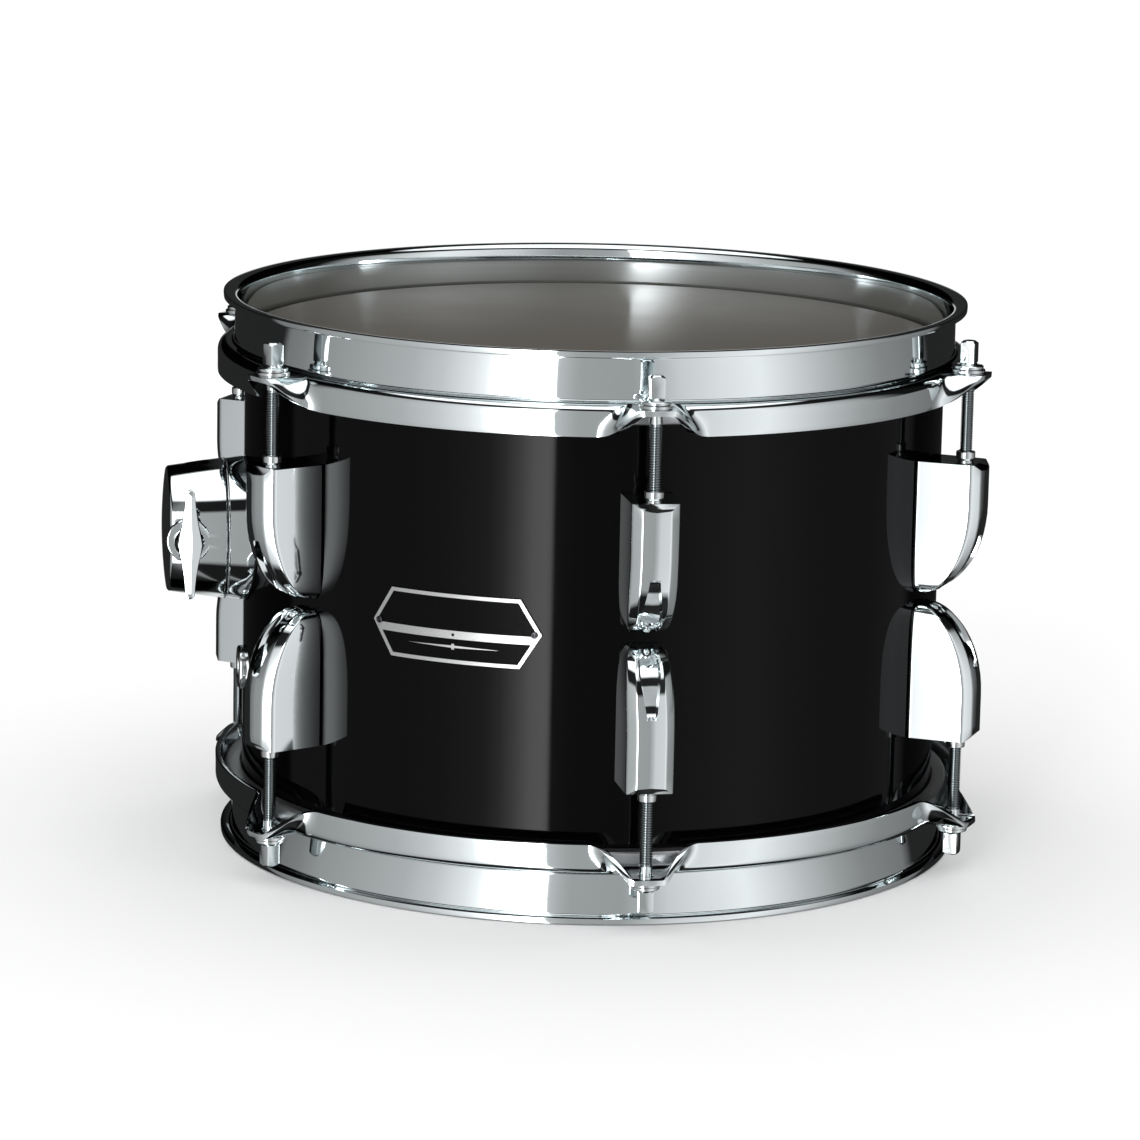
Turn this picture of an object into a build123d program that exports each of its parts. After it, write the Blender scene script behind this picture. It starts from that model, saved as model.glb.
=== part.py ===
# A rack tom, twelve inches across and eight deep: a wrapped ply shell, a head and a
# triple-flanged steel hoop at each end, twelve cast lugs with their tension rods, and a
# round clamp bracket for a vertical mounting rod.
#
# Millimetres. +Z is up, the drum's axis is Z, and the lower hoop's rim lies on Z = 0.
# An azimuth of 0 faces -Y and grows towards +X. A part that stands out from the shell is
# made at azimuth 0, or at -X for the bracket, and the upper one of a pair is made first.
import os
from math import atan, degrees, hypot, sqrt

from build123d import *

# ---- how far a cutting tool runs past the faces that it cuts
overrun = 2.0
deep_overrun = 6.0              # where the face is curved

# ---- shell and wrap
shell_od = 304.8                # over the wrap
shell_depth = 203.2             # bearing edge to bearing edge
shell_wall = 7.5                # the plies alone
wrap_thickness = 0.5
wrap_setback = 6.0              # bare ply left below each bearing edge
bearing_flat = 0.8              # width of the crest that the head sits on
bearing_outer = 1.5             # the crest's distance from the outside of the plies

# ---- heads
film_thickness = 0.4
film_corner = 0.18
film_side_gap = 0.1             # film's collar off the wrap
flesh_hoop_width = 6.6
flesh_hoop_height = 6.7
flesh_hoop_corner = 0.8
collar_depth = 5.7              # bearing edge down to the flesh hoop's top

# ---- hoops
sheet = 2.3                     # steel sheet of the hoops
rim_stand = 18.0                # bearing edge to the top of the rim
rim_width = 7.2                 # rim's flange, inside edge to outside edge
hoop_wall_gap = 1.45            # film's collar to the hoop's inner wall
hoop_seat_gap = 0.3             # flesh hoop to the shelf that presses it
skirt_height = 11.1             # skirt's edge below the shelf's underside
skirt_gap = 2.3                 # flesh hoop to the skirt
ear_reach = 8.8                 # ear's tip beyond the rods' circle
ear_root_width = 26.0
ear_tip_width = 15.0
ear_corner = 5.25
skirt_opening_low = 40.0        # opening in the skirt under an ear, at the skirt's edge
skirt_opening_high = 19.0       # the same, up at the ear

# ---- tension rods and their washers
lug_count = 6                   # at each end
rod_standoff = 18.0             # wrap to the rods' axis
rod_diameter = 5.5
rod_length = 52.0               # under the flange
rod_flange_diameter = 12.6
rod_flange_height = 1.5
rod_tip_chamfer = 0.6
rod_cone_height = 1.3
rod_cone_diameters = (9.2, 7.2)  # at the flange, at the square
rod_square = 6.35               # across the flats, for a drum key
rod_square_height = 9.1
rod_square_chamfer = 0.7
rod_hole_clearance = 0.6        # radial, in the hoop's ear
rod_thread_clearance = 0.05     # radial, in the swivel nut
rod_seat_gap = 0.15             # flange off its washer
rod_washer_diameter = 14.2
rod_washer_thickness = 1.5

# ---- lugs
lug_gasket = 0.6
lug_reach = 27.6                # wrap to the ridge
lug_length = 57.8
lug_tip_height = 2.4            # tip to the drum's mid-height
lug_straight = 19.0             # ridge's straight run, before the curve to the tip
lug_base_width = 22.0
lug_side_width = 18.0
lug_side_setback = 4.8          # ridge to the edge between side and bevel
lug_face_width = 12.2
lug_face_setback = 1.6          # ridge to the edge between bevel and face
lug_cap = (3.1, 4.2)            # slope at the flat end: inwards, along the axis
lug_wall = 2.2
lug_root = 4.0                  # blank's depth into the shell, cut back to the gasket later
lug_gasket_margins = (2.0, 1.0)  # gasket short of the lug's tip, and of its end and sides
lug_gasket_corner = 3.0
lug_recess_depth = 1.2          # pocket down the curved end
lug_recess_start = 31.0         # from the flat end
lug_recess_widths = (4.4, 12.0)
lug_boss_diameter = 9.0
lug_boss_height = 12.0
lug_rib = 2.4                   # joins each boss to both side walls
lug_screw_offsets = (17.0, 41.0)  # from the flat end

# ---- swivel nuts
nut_collar_diameter = 8.2
nut_collar_height = 4.4
nut_corner = 0.4
nut_flange_diameter = 10.4
nut_length_inside = 11.5
nut_hole_clearance = 0.15       # radial, in the lug's end

# ---- machine screws and washers, driven from inside the shell
screw_diameter = 5.0
screw_clearance = 0.3           # radial, in wood and washers
screw_thread_gap = 0.05         # radial, in a tapped boss
screw_head_diameter = 8.8
screw_head_height = 2.8
screw_socket_depth = 1.6
screw_socket_width = 1.4
screw_socket_length = 5.3
screw_engagement = 8.0          # into a boss
screw_tip_room = 1.5            # tapped hole past the screw's tip
washer_diameter = 11.0
washer_thickness = 1.0

# ---- rod bracket
bracket_height = 17.1           # above the drum's mid-height
bracket_gasket = 0.8
bracket_base_depth = 9.3        # wrap to the seam
bracket_depth = 33.8            # wrap to the outer edge
bracket_crown = 1.8             # the outer face's rise at its centre
bracket_base_diameter = 63.2
bracket_gasket_inset = 0.5
bracket_seam_diameter = 61.4
bracket_face_diameter = 54.4
bracket_wall = 3.2
bracket_bore_diameter = 11.0    # takes a 10.5 rod
bracket_bore_offset = 20.6      # wrap to the rod's axis
bracket_bore_wall = 3.6
bracket_screw_offset = 17.0
bracket_boss_diameter = 10.0
bracket_boss_height = 12.0

# ---- eye bolt and wing nut
eye_thickness = 8.0
eye_wall = 3.7
eye_bore_clearance = 0.1        # radial, over the bracket's bore
eye_side_gap = 0.8
bolt_offset = 26.0              # wrap to the bolt's axis, outside the rod's
bolt_diameter = 8.0
bolt_hole_clearance = 0.6       # radial, in the housing's side
bolt_thread_clearance = 0.05    # radial, in the wing nut
bolt_end_gap = 2.0
bolt_lead = 0.8                 # slope at the bolt's tip
bolt_sunk = 1.5                 # bolt's tip below the hub's end
pad_diameter = 19.0
pad_stand = 1.2                 # pad's face beyond the housing's side
wing_seat_gap = 0.3
wing_hub_diameter = 13.0
wing_hub_height = 7.5
wing_cap_height = 2.6
wing_span = 47.4
wing_middle = 11.0
wing_end = 4.4
wing_knob = 18.0                # height from the middle at which each end stops narrowing
wing_thickness = 5.0

# ---- badge and air vent
badge_azimuth = 330
badge_length = 76.4
badge_flat_length = 58.0        # of its upper and lower sides
badge_height = 29.6
badge_thickness = 0.7
badge_pin_inset = 3.4
badge_pin_diameter = 1.6
badge_pin_head = (3.0, 0.9)     # diameter, height
badge_pin_taper = 20            # degrees, sides of the head
badge_pin_length = 6.0
vent_drop = 45.0                # below the drum's mid-height
vent_bore = 9.6
vent_barrel = 12.2
vent_flange_diameter = 19.2
vent_flange_height = 2.6
vent_flange_round = 1.56
vent_back_diameter = 16.0
vent_back_height = 1.2
vent_hole_clearance = 0.2

# ---- worked out once
shell_r = shell_od / 2
ply_r = shell_r - wrap_thickness
inner_r = ply_r - shell_wall
crest_r = ply_r - bearing_outer
mid_z = rim_stand + shell_depth / 2
edge_z = mid_z + shell_depth / 2
film_ir = shell_r + film_side_gap
film_or = film_ir + film_thickness
flesh_or = film_or + flesh_hoop_width
flesh_top = edge_z - collar_depth
hoop_wall_r = film_or + hoop_wall_gap
shelf_z = flesh_top + hoop_seat_gap
ear_top = shelf_z + sheet
rim_top = edge_z + rim_stand
skirt_ir = flesh_or + skirt_gap
skirt_low = shelf_z - skirt_height
rod_circle = shell_r + rod_standoff
rod_hole_r = rod_diameter / 2 + rod_hole_clearance
rod_seat = ear_top + rod_washer_thickness + rod_seat_gap
lug_base_r = shell_r + lug_gasket
lug_tip_z = mid_z + lug_tip_height
lug_end_z = lug_tip_z + lug_length
lug_curve_z = lug_end_z - lug_straight
screw_heights = [lug_end_z - offset for offset in lug_screw_offsets]
screw_hole_r = screw_diameter / 2 + screw_clearance
tapped_r = screw_diameter / 2 + screw_thread_gap
bracket_z = mid_z + bracket_height
bracket_back_r = shell_r + bracket_gasket
seam_r = shell_r + bracket_base_depth
bore_r = shell_r + bracket_bore_offset
bolt_r = shell_r + bolt_offset
pin_angle = degrees((badge_length / 2 - badge_pin_inset) / shell_r)
vent_z = mid_z - vent_drop
mirror_plane = Plane.XY.offset(mid_z)
bracket_plane = Plane(origin=(0, 0, bracket_z), x_dir=(0, -1, 0), z_dir=(-1, 0, 0))
vent_plane = Plane(origin=(0, 0, vent_z), x_dir=(0, -1, 0), z_dir=(-1, 0, 0))

os.makedirs("parts", exist_ok=True)


def save(part, name):
    part.label = name
    export_step(part, f"parts/{name}.step")


def front_plane(z, distance=0):
    """A plane that faces -Y at a height and a distance from the axis."""
    return Plane(origin=(0, -distance, z), x_dir=(1, 0, 0), z_dir=(0, -1, 0))


def inner_face(half_width):
    """Distance from the axis at which a flat washer first meets the curved inside."""
    return sqrt(inner_r**2 - half_width**2)


def ring(inner, outer, low, high):
    with BuildPart() as body:
        with BuildSketch(Plane.XY.offset(low)):
            Circle(outer)
            Circle(inner, mode=Mode.SUBTRACT)
        extrude(amount=high - low)
    return body.part


def core(radius, low, high):
    with BuildPart() as body:
        with BuildSketch(Plane.XY.offset(low)):
            Circle(radius)
        extrude(amount=high - low)
    return body.part


def turned_group(parts, step=360 / lug_count):
    """Every part once per lug, in one compound of separate solids."""
    solids = [
        solid.rotate(Axis.Z, index * step)
        for index in range(lug_count)
        for part in parts
        for solid in part.solids()
    ]
    return Compound(solids)


def screw_at(plane, head_seat, tip):
    """A cross-slotted pan head screw along a plane's normal."""
    with BuildPart() as screw:
        with BuildSketch(plane.offset(head_seat)):
            Circle(screw_diameter / 2)
        extrude(amount=tip - head_seat)
        with BuildSketch(plane.offset(head_seat)):
            Circle(screw_head_diameter / 2)
        extrude(amount=-screw_head_height)
        with BuildSketch(plane.offset(head_seat - screw_head_height)):
            Rectangle(screw_socket_length, screw_socket_width)
            Rectangle(screw_socket_width, screw_socket_length)
        extrude(amount=screw_socket_depth, mode=Mode.SUBTRACT)
    return screw.part


def washer_at(plane, face):
    with BuildPart() as washer:
        with BuildSketch(plane.offset(face)):
            Circle(washer_diameter / 2)
            Circle(screw_hole_r, mode=Mode.SUBTRACT)
        extrude(amount=-washer_thickness)
    return washer.part


def plug(plane, radius, first, last):
    with BuildPart() as body:
        with BuildSketch(plane.offset(first)):
            Circle(radius)
        extrude(amount=last - first)
    return body.part


def shell_holes():
    """Plugs for every hole that the shell and its wrap share."""
    first = inner_r - deep_overrun
    last = shell_r + overrun
    heights = screw_heights + [2 * mid_z - z for z in screw_heights]
    lug_plugs = [plug(front_plane(z), screw_hole_r, first, last) for z in heights]
    plugs = list(turned_group(lug_plugs).solids())
    with BuildPart() as side_plugs:
        with BuildSketch(bracket_plane.offset(first)):
            with GridLocations(2 * bracket_screw_offset, 2 * bracket_screw_offset, 2, 2):
                Circle(screw_hole_r)
        extrude(amount=last - first)
        with BuildSketch(vent_plane.offset(first)):
            Circle(vent_barrel / 2 + vent_hole_clearance)
        extrude(amount=last - first)
    plugs += side_plugs.solids()
    pin_plug = plug(front_plane(mid_z), badge_pin_diameter / 2, shell_r - badge_pin_length, last)
    for turn in (-pin_angle, pin_angle):
        plugs.append(pin_plug.rotate(Axis.Z, badge_azimuth + turn))
    return plugs


# ---- shell and wrap
bearing_inner_drop = crest_r - bearing_flat - inner_r

with BuildPart() as shell:
    with BuildSketch(Plane.XZ):
        with BuildLine():
            Polyline(
                (inner_r, mid_z),
                (inner_r, edge_z - bearing_inner_drop),
                (crest_r - bearing_flat, edge_z),
                (crest_r, edge_z),
                (ply_r, edge_z - bearing_outer),
                (ply_r, mid_z),
                close=True,
            )
        make_face()
    revolve(axis=Axis.Z)
    mirror(about=mirror_plane)
    add(shell_holes(), mode=Mode.SUBTRACT)
save(shell.part, "shell")

wrap_half = shell_depth / 2 - wrap_setback
with BuildPart() as shell_wrap:
    add(ring(ply_r, shell_r, mid_z - wrap_half, mid_z + wrap_half))
    add(shell_holes(), mode=Mode.SUBTRACT)
save(shell_wrap.part, "shell_wrap")

# ---- heads: the film turns down outside the shell and is held in the flesh hoop
with BuildPart() as film:
    with BuildSketch(Plane.XZ):
        with BuildLine():
            Polyline(
                (0, edge_z),
                (film_ir, edge_z),
                (film_ir, flesh_top - flesh_hoop_height / 2),
                (film_or, flesh_top - flesh_hoop_height / 2),
                (film_or, edge_z + film_thickness),
                (0, edge_z + film_thickness),
                close=True,
            )
        make_face()
    revolve(axis=Axis.Z)
    outer_corner = film.edges().filter_by(GeomType.CIRCLE).group_by(Axis.Z)[-1]
    chamfer(outer_corner, film_corner)
save(film.part, "batter_film")
save(film.part.mirror(mirror_plane), "resonant_film")

with BuildPart() as flesh_hoop:
    add(ring(film_or, flesh_or, flesh_top - flesh_hoop_height, flesh_top))
    chamfer(flesh_hoop.edges().group_by(Axis.Z)[-1].sort_by(SortBy.LENGTH)[-1], flesh_hoop_corner)
save(flesh_hoop.part, "batter_flesh_hoop")
save(flesh_hoop.part.mirror(mirror_plane), "resonant_flesh_hoop")

# ---- hoops
rim_or = hoop_wall_r + rim_width
skirt_or = skirt_ir + sheet
ear_tip_r = rod_circle + ear_reach

with BuildPart() as skirt_opening:
    with BuildSketch(front_plane(0, flesh_or)):
        with BuildLine():
            Polyline(
                (-skirt_opening_low / 2, skirt_low - overrun),
                (-skirt_opening_high / 2, shelf_z),
                (skirt_opening_high / 2, shelf_z),
                (skirt_opening_low / 2, skirt_low - overrun),
                close=True,
            )
        make_face()
    extrude(amount=rod_standoff)

with BuildPart() as ear:
    with BuildSketch(Plane.XY.offset(shelf_z)) as ear_outline:
        with BuildLine():
            Polyline(
                (-ear_root_width / 2, -flesh_or),
                (-ear_tip_width / 2, -ear_tip_r),
                (ear_tip_width / 2, -ear_tip_r),
                (ear_root_width / 2, -flesh_or),
                close=True,
            )
        make_face()
        fillet(ear_outline.vertices().group_by(Axis.Y)[0], ear_corner)
    extrude(amount=sheet)

with BuildPart() as hoop:
    with BuildSketch(Plane.XZ):
        with BuildLine():
            Polyline(
                (hoop_wall_r, shelf_z),
                (hoop_wall_r, rim_top),
                (rim_or, rim_top),
                (rim_or, rim_top - sheet),
                (hoop_wall_r + sheet, rim_top - sheet),
                (hoop_wall_r + sheet, ear_top),
                (skirt_or, ear_top),
                (skirt_or, skirt_low),
                (skirt_ir, skirt_low),
                (skirt_ir, shelf_z),
                close=True,
            )
        make_face()
    revolve(axis=Axis.Z)
    with PolarLocations(0, lug_count):
        add(skirt_opening.part, mode=Mode.SUBTRACT)
        add(ear.part)
    with BuildSketch(Plane.XY.offset(shelf_z - overrun)):
        with PolarLocations(rod_circle, lug_count, start_angle=-90):
            Circle(rod_hole_r)
    extrude(amount=sheet + 2 * overrun, mode=Mode.SUBTRACT)
save(hoop.part, "batter_hoop")
save(hoop.part.mirror(mirror_plane), "resonant_hoop")

# ---- tension rods and washers
with BuildPart() as rod_washer:
    with BuildSketch(Plane.XY.offset(ear_top)):
        with Locations((0, -rod_circle)):
            Circle(rod_washer_diameter / 2)
            Circle(rod_hole_r, mode=Mode.SUBTRACT)
    extrude(amount=rod_washer_thickness)
rod_washers = turned_group([rod_washer.part])
save(rod_washers, "batter_rod_washers")
save(rod_washers.mirror(mirror_plane), "resonant_rod_washers")

cone_top = rod_seat + rod_flange_height + rod_cone_height
with BuildPart() as rod:
    with BuildSketch(Plane.XZ):
        with BuildLine():
            Polyline(
                (0, rod_seat - rod_length),
                (rod_diameter / 2 - rod_tip_chamfer, rod_seat - rod_length),
                (rod_diameter / 2, rod_seat - rod_length + rod_tip_chamfer),
                (rod_diameter / 2, rod_seat),
                (rod_flange_diameter / 2, rod_seat),
                (rod_flange_diameter / 2, rod_seat + rod_flange_height),
                (rod_cone_diameters[0] / 2, rod_seat + rod_flange_height),
                (rod_cone_diameters[1] / 2, cone_top),
                (0, cone_top),
                close=True,
            )
        make_face()
    revolve(axis=Axis.Z)
    with BuildSketch(Plane.XY.offset(cone_top)):
        Rectangle(rod_square, rod_square)
    extrude(amount=rod_square_height)
    chamfer(rod.faces().sort_by(Axis.Z)[-1].edges(), rod_square_chamfer)
placed_rod = rod.part.translate((0, -rod_circle, 0))
for index in range(lug_count):
    upper_rod = placed_rod.rotate(Axis.Z, index * 360 / lug_count)
    save(upper_rod, f"batter_rod_{index + 1}")
    save(upper_rod.mirror(mirror_plane), f"resonant_rod_{index + 1}")

# ---- lugs


def lug_form(inset):
    """The lug's outer form, or the space inside its wall."""
    reach = lug_reach - inset
    drop = lug_length - lug_straight - inset
    end = lug_end_z - inset
    cap_in, cap_down = lug_cap
    cap_shrink = inset * (cap_in + cap_down - hypot(cap_in, cap_down)) / (cap_in * cap_down)
    cap_in *= 1 - cap_shrink
    cap_down *= 1 - cap_shrink
    side_r = shell_r + lug_reach - lug_side_setback - inset
    face_r = shell_r + lug_reach - lug_face_setback - inset
    back_r = shell_r - lug_root
    back_half = sqrt(shell_r**2 - back_r**2)
    with BuildPart() as form:
        with BuildSketch(Plane.YZ):
            with BuildLine():
                Polyline(
                    (-shell_r, lug_curve_z - drop),
                    (-back_r, lug_curve_z - drop),
                    (-back_r, end),
                    (-(shell_r + reach - cap_in), end),
                    (-(shell_r + reach), end - cap_down),
                    (-(shell_r + reach), lug_curve_z),
                )
                EllipticalCenterArc(
                    (-shell_r, lug_curve_z), reach, drop, start_angle=180, arc_size=90
                )
            make_face()
        extrude(amount=back_half, both=True)
        with BuildSketch(Plane.XY.offset(lug_tip_z - overrun)):
            with BuildLine():
                base_half = lug_base_width / 2 - inset
                side_half = lug_side_width / 2 - inset
                face_half = lug_face_width / 2 - inset
                Polyline(
                    (0, -back_r),
                    (-base_half, -back_r),
                    (-base_half, -shell_r),
                    (-side_half, -side_r),
                    (-face_half, -face_r),
                    (0, -(shell_r + reach)),
                    (face_half, -face_r),
                    (side_half, -side_r),
                    (base_half, -shell_r),
                    (base_half, -back_r),
                    close=True,
                )
            make_face()
        extrude(amount=lug_length + 2 * overrun, mode=Mode.INTERSECT)
    return form.part


with BuildPart() as lug_recess:
    with BuildSketch(front_plane(lug_end_z, shell_r - deep_overrun)):
        with BuildLine():
            narrow, wide = lug_recess_widths
            Polyline(
                (-narrow / 2, -lug_recess_start),
                (-wide / 2, -lug_length - overrun),
                (wide / 2, -lug_length - overrun),
                (narrow / 2, -lug_recess_start),
                close=True,
            )
        make_face()
    extrude(amount=lug_reach + 2 * deep_overrun)
    with BuildSketch(Plane.YZ):
        with BuildLine():
            Polyline(
                (-(shell_r + lug_reach - lug_recess_depth), lug_curve_z),
                (-(shell_r + lug_reach - lug_recess_depth), lug_end_z),
                (-(shell_r - 2 * deep_overrun), lug_end_z),
                (-(shell_r - 2 * deep_overrun), lug_curve_z - lug_length + lug_straight + lug_recess_depth),
                (-shell_r, lug_curve_z - lug_length + lug_straight + lug_recess_depth),
            )
            EllipticalCenterArc(
                (-shell_r, lug_curve_z),
                lug_reach - lug_recess_depth,
                lug_length - lug_straight - lug_recess_depth,
                start_angle=180,
                arc_size=90,
            )
        make_face()
    extrude(amount=wide, both=True, mode=Mode.SUBTRACT)

with BuildPart() as lug_bosses:
    for z in screw_heights:
        with BuildSketch(front_plane(z, shell_r)):
            Circle(lug_boss_diameter / 2)
            Rectangle(lug_base_width, lug_rib)
        extrude(amount=lug_boss_height)
    add(lug_form(0), mode=Mode.INTERSECT)

with BuildPart() as lug:
    add(lug_form(0))
    add(lug_form(lug_wall), mode=Mode.SUBTRACT)
    add(lug_recess.part, mode=Mode.SUBTRACT)
    add(lug_bosses.part)
    for z in screw_heights:
        with BuildSketch(front_plane(z, lug_base_r - deep_overrun)):
            Circle(tapped_r)
        extrude(amount=deep_overrun + screw_engagement + screw_tip_room, mode=Mode.SUBTRACT)
    with BuildSketch(Plane.XY.offset(lug_end_z - lug_wall - overrun)):
        with Locations((0, -rod_circle)):
            Circle(nut_collar_diameter / 2 + nut_hole_clearance)
    extrude(amount=lug_wall + 2 * overrun, mode=Mode.SUBTRACT)
    add(core(lug_base_r, lug_tip_z - overrun, lug_end_z + overrun), mode=Mode.SUBTRACT)
for index in range(lug_count):
    upper_lug = lug.part.rotate(Axis.Z, index * 360 / lug_count)
    save(upper_lug, f"batter_lug_{index + 1}")
    save(upper_lug.mirror(mirror_plane), f"resonant_lug_{index + 1}")

tip_margin, side_margin = lug_gasket_margins
gasket_low = lug_tip_z + tip_margin
gasket_high = lug_end_z - side_margin
with BuildPart() as gasket:
    add(ring(shell_r, lug_base_r, gasket_low, gasket_high))
    with BuildSketch(front_plane((gasket_low + gasket_high) / 2)):
        RectangleRounded(lug_base_width - 2 * side_margin, gasket_high - gasket_low, lug_gasket_corner)
    extrude(amount=lug_base_r + overrun, mode=Mode.INTERSECT)
    for z in screw_heights:
        with BuildSketch(front_plane(z)):
            Circle(screw_hole_r)
        extrude(amount=lug_base_r + overrun, mode=Mode.SUBTRACT)
gaskets = turned_group([gasket.part])
save(gaskets, "batter_lug_gaskets")
save(gaskets.mirror(mirror_plane), "resonant_lug_gaskets")

# ---- swivel nuts
nut_shoulder = lug_end_z - lug_wall
with BuildPart() as nut:
    with BuildSketch(Plane.XY.offset(nut_shoulder)):
        with Locations((0, -rod_circle)):
            Circle(nut_collar_diameter / 2)
    extrude(amount=lug_wall + nut_collar_height)
    chamfer(nut.edges().filter_by(GeomType.CIRCLE).sort_by(Axis.Z)[-1], nut_corner)
    with BuildSketch(Plane.XY.offset(nut_shoulder)):
        with Locations((0, -rod_circle)):
            Circle(nut_flange_diameter / 2)
    extrude(amount=-nut_length_inside)
    with BuildSketch(Plane.XY.offset(nut_shoulder - nut_length_inside - overrun)):
        with Locations((0, -rod_circle)):
            Circle(rod_diameter / 2 + rod_thread_clearance)
    extrude(amount=nut_length_inside + lug_wall + nut_collar_height + 2 * overrun, mode=Mode.SUBTRACT)
nuts = turned_group([nut.part])
save(nuts, "batter_swivel_nuts")
save(nuts.mirror(mirror_plane), "resonant_swivel_nuts")

# ---- lug screws and washers
washer_face = inner_face(washer_diameter / 2)
screw_planes = [front_plane(z) for z in screw_heights]
lug_washers = turned_group([washer_at(plane, washer_face) for plane in screw_planes])
lug_screws = turned_group(
    [
        screw_at(plane, washer_face - washer_thickness, lug_base_r + screw_engagement)
        for plane in screw_planes
    ]
)
save(lug_washers, "batter_lug_screw_washers")
save(lug_washers.mirror(mirror_plane), "resonant_lug_screw_washers")
save(lug_screws, "batter_lug_screws")
save(lug_screws.mirror(mirror_plane), "resonant_lug_screws")

# ---- rod bracket
bracket_axis = Axis((0, 0, bracket_z), (-1, 0, 0))
side_plane = Plane(origin=(0, 0, bracket_z), x_dir=(-1, 0, 0), z_dir=(0, -1, 0))
base_half = bracket_base_diameter / 2
seam_half = bracket_seam_diameter / 2
face_half = bracket_face_diameter / 2
face_r = shell_r + bracket_depth
taper = (seam_half - face_half) / (face_r - seam_r)
bracket_screws_low = inner_face(bracket_screw_offset + washer_diameter / 2)


def bracket_holes(radius, first, last):
    with BuildPart() as holes:
        with BuildSketch(bracket_plane.offset(first)):
            with GridLocations(2 * bracket_screw_offset, 2 * bracket_screw_offset, 2, 2):
                Circle(radius)
        extrude(amount=last - first)
    return holes.part


with BuildPart() as bracket_pad:
    add(ring(shell_r, bracket_back_r, bracket_z - base_half, bracket_z + base_half))
    with BuildSketch(bracket_plane):
        Circle(base_half - bracket_gasket_inset)
    extrude(amount=bracket_back_r + overrun, mode=Mode.INTERSECT)
    add(bracket_holes(screw_hole_r, inner_r, seam_r), mode=Mode.SUBTRACT)
save(bracket_pad.part, "bracket_gasket")

with BuildPart() as bracket_base:
    with BuildSketch(side_plane):
        with BuildLine():
            Polyline(
                (inner_r, 0),
                (inner_r, base_half),
                (shell_r, base_half),
                (seam_r, seam_half),
                (seam_r, 0),
                close=True,
            )
        make_face()
    revolve(axis=bracket_axis)
    add(core(bracket_back_r, bracket_z - base_half - overrun, bracket_z + base_half + overrun), mode=Mode.SUBTRACT)
    add(bracket_holes(screw_hole_r, inner_r, seam_r), mode=Mode.SUBTRACT)
save(bracket_base.part, "bracket_base")

# the housing opens towards the base; a vertical tube for the rod crosses its hollow, and
# stops short of the middle on both sides, where the eye of the bolt sits round the rod
tube_r = bracket_bore_diameter / 2 + bracket_bore_wall
eye_r = bracket_bore_diameter / 2 + eye_bore_clearance
eye_or = eye_r + eye_wall
eye_slot_half = eye_thickness / 2 + eye_side_gap
pad_face = seam_half - taper * (bolt_r - seam_r) + pad_stand
hollow_r = seam_half - bracket_wall
hollow_end = face_r - bracket_wall
bore_plane = Plane(origin=(-bore_r, 0, bracket_z))
bolt_plane = Plane(origin=(-bolt_r, 0, bracket_z), x_dir=(1, 0, 0), z_dir=(0, -1, 0))

with BuildPart() as bracket_outline:
    with BuildSketch(side_plane):
        with BuildLine():
            Polyline(
                (face_r + bracket_crown, 0),
                (seam_r, 0),
                (seam_r, seam_half),
                (face_r, face_half),
            )
            ThreePointArc(
                (face_r, face_half),
                (face_r + bracket_crown * 0.75, face_half / 2),
                (face_r + bracket_crown, 0),
            )
        make_face()
    revolve(axis=bracket_axis)

with BuildPart() as rod_tube:
    with BuildSketch(bore_plane.offset(eye_slot_half)):
        Circle(tube_r)
    extrude(amount=seam_half - eye_slot_half)
    mirror(about=bore_plane)
    add(bracket_outline.part, mode=Mode.INTERSECT)

with BuildPart() as housing:
    add(bracket_outline.part)
    with BuildSketch(bolt_plane.offset(pad_face)):
        Circle(pad_diameter / 2)
    extrude(amount=-(pad_stand + bracket_wall))
    with BuildSketch(bracket_plane.offset(seam_r)):
        Circle(hollow_r)
    extrude(amount=hollow_end - seam_r, taper=degrees(atan(taper)), mode=Mode.SUBTRACT)
    add(rod_tube.part)
    add(bracket_holes(bracket_boss_diameter / 2, seam_r, seam_r + bracket_boss_height))
    tapped_end = seam_r + screw_engagement + screw_tip_room
    add(bracket_holes(tapped_r, seam_r - overrun, tapped_end), mode=Mode.SUBTRACT)
    with BuildSketch(bore_plane):
        Circle(bracket_bore_diameter / 2)
    extrude(amount=seam_half + overrun, both=True, mode=Mode.SUBTRACT)
    bolt_hole_r = bolt_diameter / 2 + bolt_hole_clearance
    add(plug(bolt_plane, bolt_hole_r, eye_or, pad_face + overrun), mode=Mode.SUBTRACT)
save(housing.part, "bracket_housing")

screw_seat = bracket_screws_low - washer_thickness
with BuildPart() as bracket_screws:
    for x in (-bracket_screw_offset, bracket_screw_offset):
        for y in (-bracket_screw_offset, bracket_screw_offset):
            corner = bracket_plane.shift_origin(bracket_plane.from_local_coords((x, y, 0)))
            add(screw_at(corner, screw_seat, seam_r + screw_engagement))
save(bracket_screws.part, "bracket_screws")

with BuildPart() as bracket_washers:
    add(bracket_holes(washer_diameter / 2, screw_seat, bracket_screws_low))
    add(bracket_holes(screw_hole_r, screw_seat - overrun, bracket_screws_low + overrun), mode=Mode.SUBTRACT)
save(bracket_washers.part, "bracket_screw_washers")

# ---- eye bolt and wing nut
nut_seat = pad_face + wing_seat_gap
bolt_tip = nut_seat + wing_hub_height - bolt_sunk

with BuildPart() as eye_bolt:
    with BuildSketch(bore_plane.offset(-eye_thickness / 2)):
        Circle(eye_or)
    extrude(amount=eye_thickness)
    with BuildSketch(bolt_plane.offset(eye_or / 2)):
        Circle(bolt_diameter / 2)
    extrude(amount=bolt_tip - bolt_lead - eye_or / 2)
    with BuildSketch(bolt_plane.offset(bolt_tip - bolt_lead)):
        Circle(bolt_diameter / 2)
    extrude(amount=bolt_lead, taper=45)
    with BuildSketch(bore_plane.offset(-eye_thickness)):
        Circle(eye_r)
    extrude(amount=2 * eye_thickness, mode=Mode.SUBTRACT)
save(eye_bolt.part, "eye_bolt")

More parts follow.
